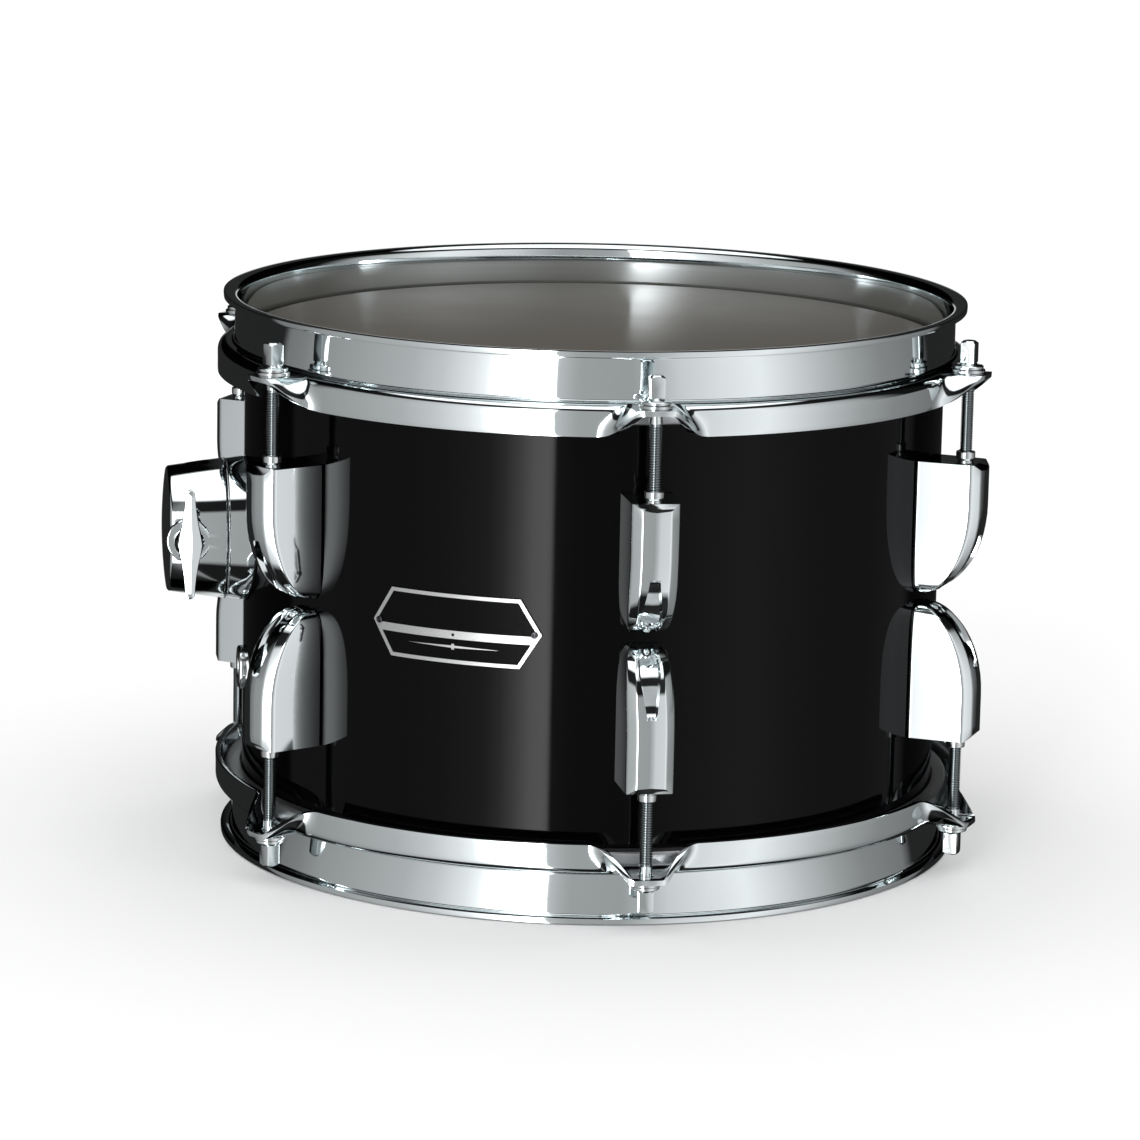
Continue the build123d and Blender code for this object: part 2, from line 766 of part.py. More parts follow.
with BuildPart() as wing_nut:
    with BuildSketch(bolt_plane.offset(nut_seat)):
        Circle(wing_hub_diameter / 2)
    extrude(amount=wing_hub_height)
    with BuildSketch(bolt_plane.offset(nut_seat + wing_hub_height)):
        Circle(wing_middle / 2)
    extrude(amount=wing_cap_height)
    with BuildSketch(bolt_plane.offset(nut_seat + wing_hub_height - wing_thickness)):
        with BuildLine():
            Polyline(
                (wing_middle / 2, 0),
                (wing_end / 2, wing_knob),
                (wing_end / 2, wing_span / 2),
                (-wing_end / 2, wing_span / 2),
                (-wing_end / 2, wing_knob),
                (-wing_middle / 2, 0),
                (-wing_end / 2, -wing_knob),
                (-wing_end / 2, -wing_span / 2),
                (wing_end / 2, -wing_span / 2),
                (wing_end / 2, -wing_knob),
                close=True,
            )
        make_face()
    extrude(amount=wing_thickness)
    with BuildSketch(bolt_plane.offset(nut_seat - overrun)):
        Circle(bolt_diameter / 2 + bolt_thread_clearance)
    extrude(amount=bolt_tip + bolt_end_gap - nut_seat + overrun, mode=Mode.SUBTRACT)
save(wing_nut.part, "wing_nut")

# ---- badge and its pins
badge_face_r = shell_r + badge_thickness
with BuildPart() as badge:
    add(ring(shell_r, badge_face_r, mid_z - badge_height, mid_z + badge_height))
    with BuildSketch(front_plane(mid_z)):
        with BuildLine():
            Polyline(
                (badge_length / 2, 0),
                (badge_flat_length / 2, badge_height / 2),
                (-badge_flat_length / 2, badge_height / 2),
                (-badge_length / 2, 0),
                (-badge_flat_length / 2, -badge_height / 2),
                (badge_flat_length / 2, -badge_height / 2),
                close=True,
            )
        make_face()
    extrude(amount=badge_face_r + overrun, mode=Mode.INTERSECT)
    for turn in (-pin_angle, pin_angle):
        pin_hole = plug(front_plane(mid_z), badge_pin_diameter / 2, inner_r, shell_r + overrun)
        add(pin_hole.rotate(Axis.Z, turn), mode=Mode.SUBTRACT)
save(badge.part.rotate(Axis.Z, badge_azimuth), "badge_plate")

pin_head_diameter, pin_head_height = badge_pin_head
with BuildPart() as badge_pin:
    with BuildSketch(front_plane(mid_z, shell_r - badge_pin_length)):
        Circle(badge_pin_diameter / 2)
    extrude(amount=badge_pin_length + badge_thickness)
    with BuildSketch(front_plane(mid_z, badge_face_r)):
        Circle(pin_head_diameter / 2)
    extrude(amount=pin_head_height, taper=badge_pin_taper)
badge_pins = [badge_pin.part.rotate(Axis.Z, badge_azimuth + turn) for turn in (-pin_angle, pin_angle)]
save(Compound([solid for pin in badge_pins for solid in pin.solids()]), "badge_pins")

# ---- air vent
with BuildPart() as vent_grommet:
    with BuildSketch(vent_plane.offset(shell_r - overrun)):
        Circle(vent_flange_diameter / 2)
    extrude(amount=overrun + vent_flange_height)
    fillet(vent_grommet.faces().sort_by(Axis.X)[0].edges(), vent_flange_round)
    with BuildSketch(vent_plane.offset(inner_r - vent_back_height)):
        Circle(vent_back_diameter / 2)
    extrude(amount=vent_back_height + overrun)
    vent_reach = vent_flange_diameter
    add(ring(inner_r, shell_r, vent_z - vent_reach, vent_z + vent_reach), mode=Mode.SUBTRACT)
    add(plug(vent_plane, vent_barrel / 2, inner_r - vent_back_height / 2, shell_r + vent_flange_height / 2))
    add(plug(vent_plane, vent_bore / 2, inner_r - deep_overrun, shell_r + deep_overrun), mode=Mode.SUBTRACT)
save(vent_grommet.part, "vent_grommet")
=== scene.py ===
# Rack tom: builds the drum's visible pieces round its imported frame.
# Metres, +Z up. The drum's axis is Z and its front column of lugs faces -Y.
from math import atan2, cos, pi, radians, sin, sqrt, tan

import bmesh
import bpy
from mathutils import Matrix, Vector


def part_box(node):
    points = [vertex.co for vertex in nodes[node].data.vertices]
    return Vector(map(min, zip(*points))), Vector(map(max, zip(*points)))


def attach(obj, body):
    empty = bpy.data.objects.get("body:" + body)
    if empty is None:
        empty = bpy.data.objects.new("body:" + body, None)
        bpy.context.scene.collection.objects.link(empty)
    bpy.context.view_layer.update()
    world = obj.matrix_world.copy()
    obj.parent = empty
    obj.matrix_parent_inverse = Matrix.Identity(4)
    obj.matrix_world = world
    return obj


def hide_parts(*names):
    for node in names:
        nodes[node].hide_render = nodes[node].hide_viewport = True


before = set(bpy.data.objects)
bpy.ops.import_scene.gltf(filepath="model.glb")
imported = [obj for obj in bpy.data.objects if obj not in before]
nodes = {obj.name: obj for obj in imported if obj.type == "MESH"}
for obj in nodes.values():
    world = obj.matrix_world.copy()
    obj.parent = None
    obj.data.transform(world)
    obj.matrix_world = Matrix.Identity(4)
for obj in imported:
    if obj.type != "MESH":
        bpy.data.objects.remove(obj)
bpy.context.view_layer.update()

mm = 0.001
columns = 6                                                # of lugs, rods and ears
shellLow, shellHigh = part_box("shell")
middle = (shellLow[2] + shellHigh[2]) / 2 / mm             # half way up the drum
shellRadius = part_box("shell_wrap")[1][0] / mm
ends = ("batter", "resonant")


# working by hand: selections, copies and turns

def clearAll():
    if bpy.context.mode != "OBJECT":
        bpy.ops.object.mode_set(mode="OBJECT")
    bpy.ops.object.select_all(action="DESELECT")


def choose(*pieces):
    clearAll()
    for piece in pieces:
        piece.select_set(True)
    bpy.context.view_layer.objects.active = pieces[0]


def editAll(piece):
    choose(piece)
    bpy.ops.object.mode_set(mode="EDIT")
    bpy.ops.mesh.select_mode(type="VERT")
    bpy.ops.mesh.select_all(action="SELECT")


def named(name):
    piece = bpy.context.view_layer.objects.active
    piece.name = piece.data.name = name
    return piece


def copyOf(piece, name):
    choose(piece)
    bpy.ops.object.duplicate(linked=False)
    return named(name)


def joined(name, pieces):
    choose(*pieces)
    bpy.ops.object.join()
    return named(name)


def settle(piece):                                         # its place goes into its mesh
    choose(piece)
    bpy.ops.object.transform_apply(location=True, rotation=True, scale=True)
    return piece


def turned(piece, angle, axis="Z", centre=(0, 0, 0)):
    editAll(piece)
    bpy.ops.transform.rotate(value=-radians(angle), orient_axis=axis,
                             center_override=[value * mm for value in centre])
    bpy.ops.object.mode_set(mode="OBJECT")
    return piece


def upended(piece):                                        # the same thing at the other end
    editAll(piece)
    bpy.ops.transform.resize(value=(1, 1, -1), center_override=(0, 0, middle * mm))
    bpy.ops.mesh.flip_normals()
    bpy.ops.object.mode_set(mode="OBJECT")
    return piece


def tidied(piece, smooth=35):
    editAll(piece)
    bpy.ops.mesh.remove_doubles(threshold=0.000003)
    bpy.ops.mesh.normals_make_consistent(inside=False)
    bpy.ops.object.mode_set(mode="OBJECT")
    bpy.ops.object.shade_smooth_by_angle(angle=radians(smooth))
    return piece


def modified(piece, kind, **settings):
    choose(piece)
    modifier = piece.modifiers.new("shaping", kind)
    for key, value in settings.items():
        setattr(modifier, key, value)
    bpy.ops.object.modifier_apply(modifier=modifier.name)
    return piece


def cutBy(piece, tool, operation="DIFFERENCE"):
    modified(piece, "BOOLEAN", object=tool, operation=operation, solver="EXACT")
    bpy.data.objects.remove(tool)
    return piece


def drawn(name, points):                                   # a line pulled from point to point
    clearAll()
    bpy.ops.mesh.primitive_plane_add(size=mm, location=[value * mm for value in points[0]])
    piece = settle(named(name))
    editAll(piece)
    bpy.ops.mesh.merge(type="CENTER")
    for last, point in zip(points, points[1:]):
        step = [(b - a) * mm for a, b in zip(last, point)]
        bpy.ops.mesh.extrude_region_move(TRANSFORM_OT_translate={"value": step})
    return piece


def spun(name, points, centre=(0, 0, 0), axis=(0, 0, 1), steps=48, smooth=35):
    piece = drawn(name, points)
    bpy.ops.mesh.select_all(action="SELECT")
    bpy.ops.mesh.spin(steps=steps, angle=2 * pi, axis=axis,
                      center=[value * mm for value in centre])
    return tidied(piece, smooth)


def pulledThrough(name, sections, capped=True, smooth=30):  # one section drawn on through the rest
    first = sections[0]
    piece = drawn(name, first + first[:1] if capped else first)
    bpy.ops.mesh.select_all(action="SELECT")
    bpy.ops.mesh.remove_doubles(threshold=0.000003)
    if capped:
        bpy.ops.mesh.edge_face_add()
    bpy.ops.object.mode_set(mode="OBJECT")                 # numbers the points afresh
    editAll(piece)
    mesh = bmesh.from_edit_mesh(piece.data)
    mesh.verts.index_update()
    line = [min(mesh.verts, key=lambda vert: (vert.co / mm - Vector(point)).length).index
            for point in first]
    for section in sections[1:]:
        bpy.ops.mesh.extrude_region_move()
        mesh = bmesh.from_edit_mesh(piece.data)
        mesh.verts.index_update()
        mesh.verts.ensure_lookup_table()
        fresh = [next(other for other in (edge.other_vert(mesh.verts[index])
                                          for edge in mesh.verts[index].link_edges)
                      if other.select) for index in line]
        for vert, point in zip(fresh, section):
            vert.co = [value * mm for value in point]
        line = [vert.index for vert in fresh]
        bmesh.update_edit_mesh(piece.data)
    return tidied(piece, smooth)


def cylinder(name, centre, radius, depth, axis="Z", sides=48):
    clearAll()
    turn = {"X": (0, pi / 2, 0), "Y": (pi / 2, 0, 0), "Z": (0, 0, 0)}[axis]
    bpy.ops.mesh.primitive_cylinder_add(vertices=sides, radius=radius * mm, depth=depth * mm,
                                        location=[value * mm for value in centre], rotation=turn)
    return settle(named(name))


def rounded(corners, bits=4, closed=False):                # (u, v, radius) corners turned into arcs
    points = []
    for index, (u, v, radius) in enumerate(corners):
        if not radius:
            points.append((u, v))
            continue
        here = Vector((u, v))
        back = (Vector(corners[index - 1][:2]) - here).normalized()
        ahead = (Vector(corners[(index + 1) % len(corners)][:2]) - here).normalized()
        half = back.angle(ahead) / 2
        centre = here + (back + ahead).normalized() * radius / sin(half)
        arm = here + back * radius / tan(half) - centre
        other = here + ahead * radius / tan(half) - centre
        start = atan2(arm.y, arm.x)
        sweep = (atan2(other.y, other.x) - start + pi) % (2 * pi) - pi
        for bit in range(bits + 1):
            angle = start + sweep * bit / bits
            points.append((centre.x + radius * cos(angle), centre.y + radius * sin(angle)))
    return points + points[:1] if closed else points


def between(value, table):                                 # a smooth curve through a table's rows
    slopes = [(high - low) / (b - a) for (a, low), (b, high) in zip(table, table[1:])]
    bends = [0] + [(one + two) / 2 if one * two > 0 else 0
                   for one, two in zip(slopes, slopes[1:])] + [0]
    for index, ((a, low), (b, high)) in enumerate(zip(table, table[1:])):
        if value <= b:
            span = b - a
            t = max(0, value - a) / span
            return ((1 + 2 * t) * (1 - t) ** 2 * low + t * (1 - t) ** 2 * span * bends[index]
                    + t * t * (3 - 2 * t) * high - t * t * (1 - t) * span * bends[index + 1])
    return table[-1][1]


def finished(piece, material, body, *stoodFor):
    piece.data.materials.clear()
    piece.data.materials.append(material)
    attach(piece, body)
    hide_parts(*stoodFor)


# camera and light

cameraPlace = {"spot": (-0.31895, -2.11621, 0.55589), "heading": 8.336, "pitch": 11.612,
               "roll": 1.152, "lens": 156.77, "sensor": 36}

clearAll()
bpy.ops.object.camera_add(location=cameraPlace["spot"])
camera = bpy.context.view_layer.objects.active
camera.name = "camera"
camera.matrix_world = (Matrix.Translation(cameraPlace["spot"])
                       @ Matrix.Rotation(radians(-cameraPlace["heading"]), 4, "Z")
                       @ Matrix.Rotation(radians(90 - cameraPlace["pitch"]), 4, "X")
                       @ Matrix.Rotation(radians(cameraPlace["roll"]), 4, "Z"))
camera.data.lens = cameraPlace["lens"]
camera.data.sensor_width = cameraPlace["sensor"]
bpy.context.scene.camera = camera
bpy.context.scene.view_settings.view_transform = "Standard"
print("camera set")

studio = {
    "brightest": 9.0,                                      # soft box left of the camera
    "overhead": 1.5,                                       # soft box straight above
    "plain": 1.12,                                         # even light on the matt things
    "low": 0.03, "lowEnd": -0.78, "highEnd": 0.6,          # the side lights' ends, and past them
    "overheadStart": 0.82,
    "bands": (                                             # degrees from the camera, brightness
        (-180, 0.8), (-174, 0.8), (-170, 0.02), (-116, 0.02), (-113, 0.2), (-104, 0.24),
        (-94, 0.33), (-80, 0.39), (-59, 0.5), (-48, 0.66), (-38, 0.92), (-33, 1.15),
        (-28, 2.2), (-23, 4.6), (-18, 8.0), (-12.8, 9.0), (-11.9, 0.62), (-5, 0.4), (12, 0.37),
        (20, 0.52), (27, 0.7), (37, 0.82), (53, 1.0), (64, 0.78), (76, 0.56), (88, 0.39),
        (102, 0.27), (124, 0.2), (131, 0.02), (170, 0.02), (174, 0.8), (180, 0.8)),
}


def node(tree, kind, **values):
    made = tree.nodes.new(kind)
    for key, value in values.items():
        if hasattr(made, key):
            setattr(made, key, value)
        else:
            made.inputs[key.replace("_", " ")].default_value = value
    return made


def arithmetic(tree, operation, first, second=None):
    made = tree.nodes.new("ShaderNodeMath")
    made.operation = operation
    for index, value in enumerate((first, second)):
        if isinstance(value, bpy.types.NodeSocket):
            tree.links.new(value, made.inputs[index])
        elif value is not None:
            made.inputs[index].default_value = value
    return made.outputs[0]


def lightStudio():
    world = bpy.data.worlds.new("studio")
    bpy.context.scene.world = world
    world.use_nodes = True
    tree = world.node_tree
    tree.nodes.clear()
    link = tree.links.new
    coords = tree.nodes.new("ShaderNodeTexCoord")
    split = tree.nodes.new("ShaderNodeSeparateXYZ")
    link(coords.outputs["Generated"], split.inputs[0])
    # direction round the drum, with 0.5 towards the camera
    towards = atan2(cameraPlace["spot"][0], -cameraPlace["spot"][1])
    heading = arithmetic(tree, "ARCTAN2", split.outputs[0],
                         arithmetic(tree, "MULTIPLY", split.outputs[1], -1.0))
    turn = arithmetic(tree, "MULTIPLY_ADD", arithmetic(tree, "SUBTRACT", heading, towards),
                      1 / (2 * pi))
    turn.node.inputs[2].default_value = 0.5
    ramp = tree.nodes.new("ShaderNodeValToRGB")
    link(arithmetic(tree, "FRACT", turn), ramp.inputs[0])
    stops = ramp.color_ramp.elements
    bands = studio["bands"]
    while len(stops) < len(bands):
        stops.new(0.5)
    for stop, (angle, level) in zip(stops, bands):
        stop.position = angle / 360 + 0.5
        shade = level / studio["brightest"]
        stop.color = (shade, shade, shade, 1)
    climb = split.outputs[2]

    def rise(source, start, finish):                       # 0 before start, 1 past finish
        made = node(tree, "ShaderNodeMapRange", From_Min=start, From_Max=finish)
        link(source, made.inputs[0])
        return made.outputs[0]

    # the side lights stop short of the floor and the ceiling, and there are none high up behind
    low, high = studio["lowEnd"], studio["highEnd"]
    reach = arithmetic(tree, "MULTIPLY", rise(climb, low - 0.04, low + 0.04),
                       rise(climb, high + 0.03, high - 0.03))
    aside = arithmetic(tree, "ABSOLUTE", arithmetic(
        tree, "SUBTRACT", arithmetic(tree, "FRACT", turn), 0.5))
    behind = arithmetic(tree, "MULTIPLY", rise(aside, 0.25, 0.3), rise(climb, 0.02, 0.08))
    reach = arithmetic(tree, "MULTIPLY", reach, arithmetic(tree, "SUBTRACT", 1.0, behind))
    reach = arithmetic(tree, "MAXIMUM", reach, studio["low"])
    sides = tree.nodes.new("ShaderNodeBackground")
    link(ramp.outputs[0], sides.inputs[0])
    link(arithmetic(tree, "MULTIPLY", reach, studio["brightest"]), sides.inputs[1])
    overhead = tree.nodes.new("ShaderNodeBackground")
    overhead.inputs[0].default_value = (1, 1, 1, 1)
    start = studio["overheadStart"]
    link(arithmetic(tree, "MULTIPLY", rise(climb, start, start + 0.04), studio["overhead"]),
         overhead.inputs[1])
    mirrored = tree.nodes.new("ShaderNodeAddShader")
    link(sides.outputs[0], mirrored.inputs[0])
    link(overhead.outputs[0], mirrored.inputs[1])
    path = tree.nodes.new("ShaderNodeLightPath")
    backdrop = node(tree, "ShaderNodeBackground", Strength=1.0)
    plain = node(tree, "ShaderNodeBackground", Strength=studio["plain"])
    for flat in (backdrop, plain):
        flat.inputs[0].default_value = (1, 1, 1, 1)
    matt = tree.nodes.new("ShaderNodeMixShader")
    link(path.outputs["Is Diffuse Ray"], matt.inputs[0])
    link(mirrored.outputs[0], matt.inputs[1])
    link(plain.outputs[0], matt.inputs[2])
    seen = tree.nodes.new("ShaderNodeMixShader")
    link(path.outputs["Is Camera Ray"], seen.inputs[0])
    link(matt.outputs[0], seen.inputs[1])
    link(backdrop.outputs[0], seen.inputs[2])
    link(seen.outputs[0], tree.nodes.new("ShaderNodeOutputWorld").inputs[0])


def layFloor():
    clearAll()
    bpy.ops.mesh.primitive_plane_add(size=30, location=(0, 0, -0.0005))
    floor = settle(named("floor"))
    floor.visible_glossy = False                           # the chrome shows only the soft boxes
    pale = bpy.data.materials.new("pale_floor")
    pale.use_nodes = True
    shader = pale.node_tree.nodes["Principled BSDF"]
    shader.inputs["Base Color"].default_value = (0.9, 0.9, 0.9, 1)
    shader.inputs["Roughness"].default_value = 0.9
    shader.inputs["Specular IOR Level"].default_value = 0.1
    floor.data.materials.append(pale)


lightStudio()
layFloor()
print("studio lit")


# finishes

def finish(name, colour, metal=0.0, rough=0.3, specular=0.5):
    material = bpy.data.materials.new(name)
    material.use_nodes = True
    tree = material.node_tree
    shader = tree.nodes["Principled BSDF"]
    shader.inputs["Base Color"].default_value = (*colour, 1)
    shader.inputs["Metallic"].default_value = metal
    shader.inputs["Roughness"].default_value = rough
    shader.inputs["Specular IOR Level"].default_value = specular
    return material, tree, shader


def grain(tree, size, stretch=(1, 1, 1), detail=4):        # noise over the piece, size in metres
    coords = tree.nodes.new("ShaderNodeTexCoord")
    mapping = tree.nodes.new("ShaderNodeMapping")
    mapping.inputs["Scale"].default_value = stretch
    noise = node(tree, "ShaderNodeTexNoise", Scale=1 / size, Detail=detail)
    tree.links.new(coords.outputs["Object"], mapping.inputs[0])
    tree.links.new(mapping.outputs[0], noise.inputs[0])
    return noise.outputs[0]


def spread(tree, source, low, high):
    made = node(tree, "ShaderNodeMapRange", From_Min=0.3, From_Max=0.7, To_Min=low, To_Max=high)
    tree.links.new(source, made.inputs[0])
    return made.outputs[0]


def bumped(tree, shader, source, depth, socket="Normal"):
    bump = node(tree, "ShaderNodeBump", Distance=depth, Strength=1.0)
    tree.links.new(source, bump.inputs["Height"])
    tree.links.new(bump.outputs[0], shader.inputs[socket])


def shades(tree, shader, source, dark, pale):
    mix = tree.nodes.new("ShaderNodeMix")
    mix.data_type = "RGBA"
    mix.inputs[6].default_value = (*dark, 1)
    mix.inputs[7].default_value = (*pale, 1)
    tree.links.new(source, mix.inputs[0])
    tree.links.new(mix.outputs[2], shader.inputs["Base Color"])


def plated(name, colour, rough, ripple, depth):            # bright plate with a faint unevenness
    material, tree, shader = finish(name, colour, metal=1.0, rough=rough)
    tree.links.new(spread(tree, grain(tree, 0.03), rough * 0.7, rough * 1.5),
                   shader.inputs["Roughness"])
    shades(tree, shader, spread(tree, grain(tree, 0.05), 0, 1),
           [value * 0.97 for value in colour], colour)
    bumped(tree, shader, grain(tree, ripple, detail=2), depth)
    return material


hoopChrome = plated("hoop_chrome", (0.81, 0.865, 0.88), 0.035, 0.03, 0.00001)
castChrome = plated("cast_chrome", (0.81, 0.865, 0.88), 0.05, 0.008, 0.00001)
blackNickel = plated("black_nickel", (0.06, 0.06, 0.065), 0.2, 0.003, 0.000008)
nickel = plated("bright_nickel", (0.72, 0.745, 0.75), 0.14, 0.003, 0.000008)


def rodPlate():                                            # thread painted darker for the shade in its grooves, bright head and neck
    # the second colour is painted shade: the thread's grooves drawn darker than the plate
    bright, threadShade = (0.74, 0.79, 0.80), (0.36, 0.39, 0.40)
    rod = plated("rod_chrome", bright, 0.14, 0.003, 0.000008)
    tree = rod.node_tree
    coords = tree.nodes.new("ShaderNodeTexCoord")
    split = tree.nodes.new("ShaderNodeSeparateXYZ")
    tree.links.new(coords.outputs["Object"], split.inputs[0])
    away = arithmetic(tree, "ABSOLUTE", arithmetic(tree, "SUBTRACT", split.outputs[2], middle * mm))
    stop = (rodSizes["seat"] - rodSizes["plain"]) * mm
    made = node(tree, "ShaderNodeMapRange", From_Min=stop - 0.0005, From_Max=stop + 0.0005)
    tree.links.new(away, made.inputs[0])
    # painted shade: below the plain neck the thread takes the darker colour, standing for the shade in
    # its grooves
    shades(tree, tree.nodes["Principled BSDF"], made.outputs[0], threadShade, bright)
    return rod


def brushed(name, colour, rough, size, stretch):
    material, tree, shader = finish(name, colour, metal=1.0, rough=rough)
    lines = grain(tree, size, stretch, detail=6)
    tree.links.new(spread(tree, lines, rough * 0.75, rough * 1.35), shader.inputs["Roughness"])
    shades(tree, shader, spread(tree, lines, 0, 1), [value * 0.8 for value in colour], colour)
    bumped(tree, shader, lines, 0.00002)
    return material


steel = brushed("zinc_plated_steel", (0.62, 0.62, 0.6), 0.3, 0.0006, (1, 1, 1))
aluminium = brushed("mill_aluminium", (0.55, 0.56, 0.57), 0.38, 0.0008, (1, 1, 6))


def blackWrap():                                           # glossy sheet, its gloss a little uneven
    material, tree, shader = finish("black_wrap", (0.0008, 0.0008, 0.0011), rough=0.045,
                                    specular=0.12)
    tree.links.new(spread(tree, grain(tree, 0.04), 0.035, 0.06), shader.inputs["Roughness"])
    bumped(tree, shader, grain(tree, 0.012, detail=2), 0.000004)
    return material


def shellPly():                                            # sealed ply, its grain running round
    material, tree, shader = finish("shell_ply", (0.5, 0.36, 0.23), rough=0.42)
    lines = grain(tree, 0.004, (0.12, 0.12, 3), detail=8)
    shades(tree, shader, spread(tree, lines, 0, 1), (0.30, 0.20, 0.115), (0.56, 0.42, 0.27))
    tree.links.new(spread(tree, lines, 0.5, 0.36), shader.inputs["Roughness"])
    bumped(tree, shader, lines, 0.00006)
    return material


def headFilm():                                            # clear film coloured opaque with the dim, shaded inside of the drum behind it (painted shade); its tone and gloss vary a little at random
    # painted shade: the base colour is the dark inside of the drum as seen through a clear head
    material, tree, shader = finish("head_film", (0.118, 0.109, 0.095), rough=0.36, specular=0.28)
    haze = grain(tree, 0.06, detail=3)
    tree.links.new(spread(tree, haze, 0.32, 0.4), shader.inputs["Roughness"])
    shades(tree, shader, spread(tree, haze, 0, 1), (0.1, 0.092, 0.08), (0.112, 0.103, 0.09))
    bumped(tree, shader, grain(tree, 0.02, detail=2), 0.00002)
    return material


def gasketRubber():
    material, tree, shader = finish("black_gasket", (0.012, 0.012, 0.012), rough=0.7)
    flecks = grain(tree, 0.0009, detail=6)
    shades(tree, shader, spread(tree, flecks, 0, 1), (0.008, 0.008, 0.008), (0.02, 0.02, 0.02))
    bumped(tree, shader, flecks, 0.00008)
    return material


def badgeEnamel():
    material, tree, shader = finish("badge_enamel", (0.003, 0.003, 0.0035), rough=0.3,
                                    specular=0.05)
    fine = grain(tree, 0.0012, detail=5)
    tree.links.new(spread(tree, fine, 0.25, 0.38), shader.inputs["Roughness"])
    bumped(tree, shader, fine, 0.000015)
    return material


wrap, ply, film, rubber, enamel = (blackWrap(), shellPly(), headFilm(), gasketRubber(),
                                   badgeEnamel())
badgeSilver = brushed("badge_silver", (0.80, 0.81, 0.81), 0.32, 0.0005, (1, 1, 8))
print("finishes made")


# shell, its covering and the air vent

shellSizes = {"ply": 7.5, "wrap": 0.5, "setback": 6.0, "crest": 1.5, "flat": 0.8,
              "depth": 203.2, "steps": 288, "smooth": 20}
ventSizes = {"height": 74.6, "hole": 6.15, "bore": 4.8, "flange": 9.6, "stand": 2.6,
             "rim": 1.25, "back": 1.2, "backRadius": 8.0}


def buildShell():
    outer = shellRadius - shellSizes["wrap"]
    inner = outer - shellSizes["ply"]
    half = shellSizes["depth"] / 2
    crest = outer - shellSizes["crest"]
    edge = crest - shellSizes["flat"]
    slope = edge - inner
    outline = rounded([(inner, -half + slope, 0), (edge, -half, 0.3), (crest, -half, 0.3),
                       (outer, -half + shellSizes["crest"], 0),
                       (outer, half - shellSizes["crest"], 0), (crest, half, 0.3),
                       (edge, half, 0.3), (inner, half - slope, 0)], bits=2, closed=True)
    shell = spun("plyShell", [(r, 0, middle + z) for r, z in outline],
                 steps=shellSizes["steps"], smooth=shellSizes["smooth"])
    reach = half - shellSizes["setback"]
    outline = rounded([(outer + 0.01, -reach, 0), (shellRadius, -reach, 0.25),
                       (shellRadius, reach, 0.25), (outer + 0.01, reach, 0)], bits=2, closed=True)
    cover = spun("shellCover", [(r, 0, middle + z) for r, z in outline],
                 steps=shellSizes["steps"], smooth=shellSizes["smooth"])
    for piece, material, stoodFor in ((shell, ply, "shell"), (cover, wrap, "shell_wrap")):
        cutBy(piece, cylinder("hole", (-inner - 4, 0, ventSizes["height"]), ventSizes["hole"], 40,
                              axis="X"))
        bpy.ops.object.shade_smooth_by_angle(angle=radians(shellSizes["smooth"]))
        finished(piece, material, "drum", stoodFor)
    return inner


def buildVent(inner):                                      # a rolled eyelet through the shell
    bore, flange = ventSizes["bore"], ventSizes["flange"]
    face = shellRadius + ventSizes["stand"]
    barrel = bore + ventSizes["rim"]
    outline = rounded([(face, bore, 1.0), (face, flange, 1.2), (shellRadius - 0.9, flange, 0),
                       (shellRadius - 0.9, barrel, 0), (inner + 0.1, barrel, 0),
                       (inner + 0.1, ventSizes["backRadius"], 0.3),
                       (inner - ventSizes["back"], ventSizes["backRadius"], 0.5),
                       (inner - ventSizes["back"], bore, 0.5)], bits=5, closed=True)
    vent = spun("airVent", [(-distance, 0, ventSizes["height"] + r) for distance, r in outline],
                centre=(0, 0, ventSizes["height"]), axis=(1, 0, 0), steps=64)
    finished(vent, nickel, "drum", "vent_grommet")


innerRadius = buildShell()
buildVent(innerRadius)
print("shell built")


# heads

headSizes = {"film": 0.4, "crown": 101.6, "bend": 1.6, "inner": 152.5, "hoopWidth": 6.6,
             "hoopTop": 95.9, "hoopHeight": 6.7, "steps": 256}


def buildHead(side):
    inner, thick, crown = headSizes["inner"], headSizes["film"], headSizes["crown"]
    low = headSizes["hoopTop"] - headSizes["hoopHeight"]
    outline = rounded([(0, crown, 0), (inner, crown, headSizes["bend"]), (inner, low + 2, 0),
                       (inner + thick, low + 2, 0),
                       (inner + thick, crown + thick, headSizes["bend"] + thick),
                       (0, crown + thick, 0)], bits=5)
    membrane = spun(side + "Head", [(r, 0, middle + z) for r, z in outline],
                    steps=headSizes["steps"], smooth=25)
    outer = inner + thick + headSizes["hoopWidth"]
    outline = rounded([(inner + thick, low, 0.6), (outer, low, 1.4), (outer, headSizes["hoopTop"], 2),
                       (inner + thick, headSizes["hoopTop"], 0.6)], closed=True)
    ring = spun(side + "FleshHoop", [(r, 0, middle + z) for r, z in outline],
                steps=headSizes["steps"])
    if side == "resonant":
        upended(membrane)
        upended(ring)
    finished(membrane, film, "drum", side + "_film")
    finished(ring, aluminium, "drum", side + "_flesh_hoop")


for side in ends:
    buildHead(side)
print("heads built")


# hoops: one pressed sheet, a rim, a wall, a shelf, and a skirt that turns out into six ears

hoopSizes = {
    "sheet": 2.3, "rimRadius": 161.55, "wallRadius": 155.5, "rimHeight": 118.45,
    "shelfHeight": 97.35, "bend": 2.6, "rollStart": 159.45, "roll": 3.35, "rod": 170.4,
    "edge": 0.7, "hole": 3.35,
    # distance from the rod, then the flange's turn downwards and its length past the roll
    "turn": ((0, 0), (6, 0), (8, 5), (10, 15), (12, 27), (14, 41), (16, 56), (18, 70),
             (20, 81), (22.5, 88), (25, 90)),
    "reach": ((0, 19.6), (5, 19.5), (6.8, 19), (8, 17.8), (10, 15.2), (12, 13), (14, 11.4),
              (16, 10.2), (18, 9.5), (20, 9.1), (23, 8.9)),
}


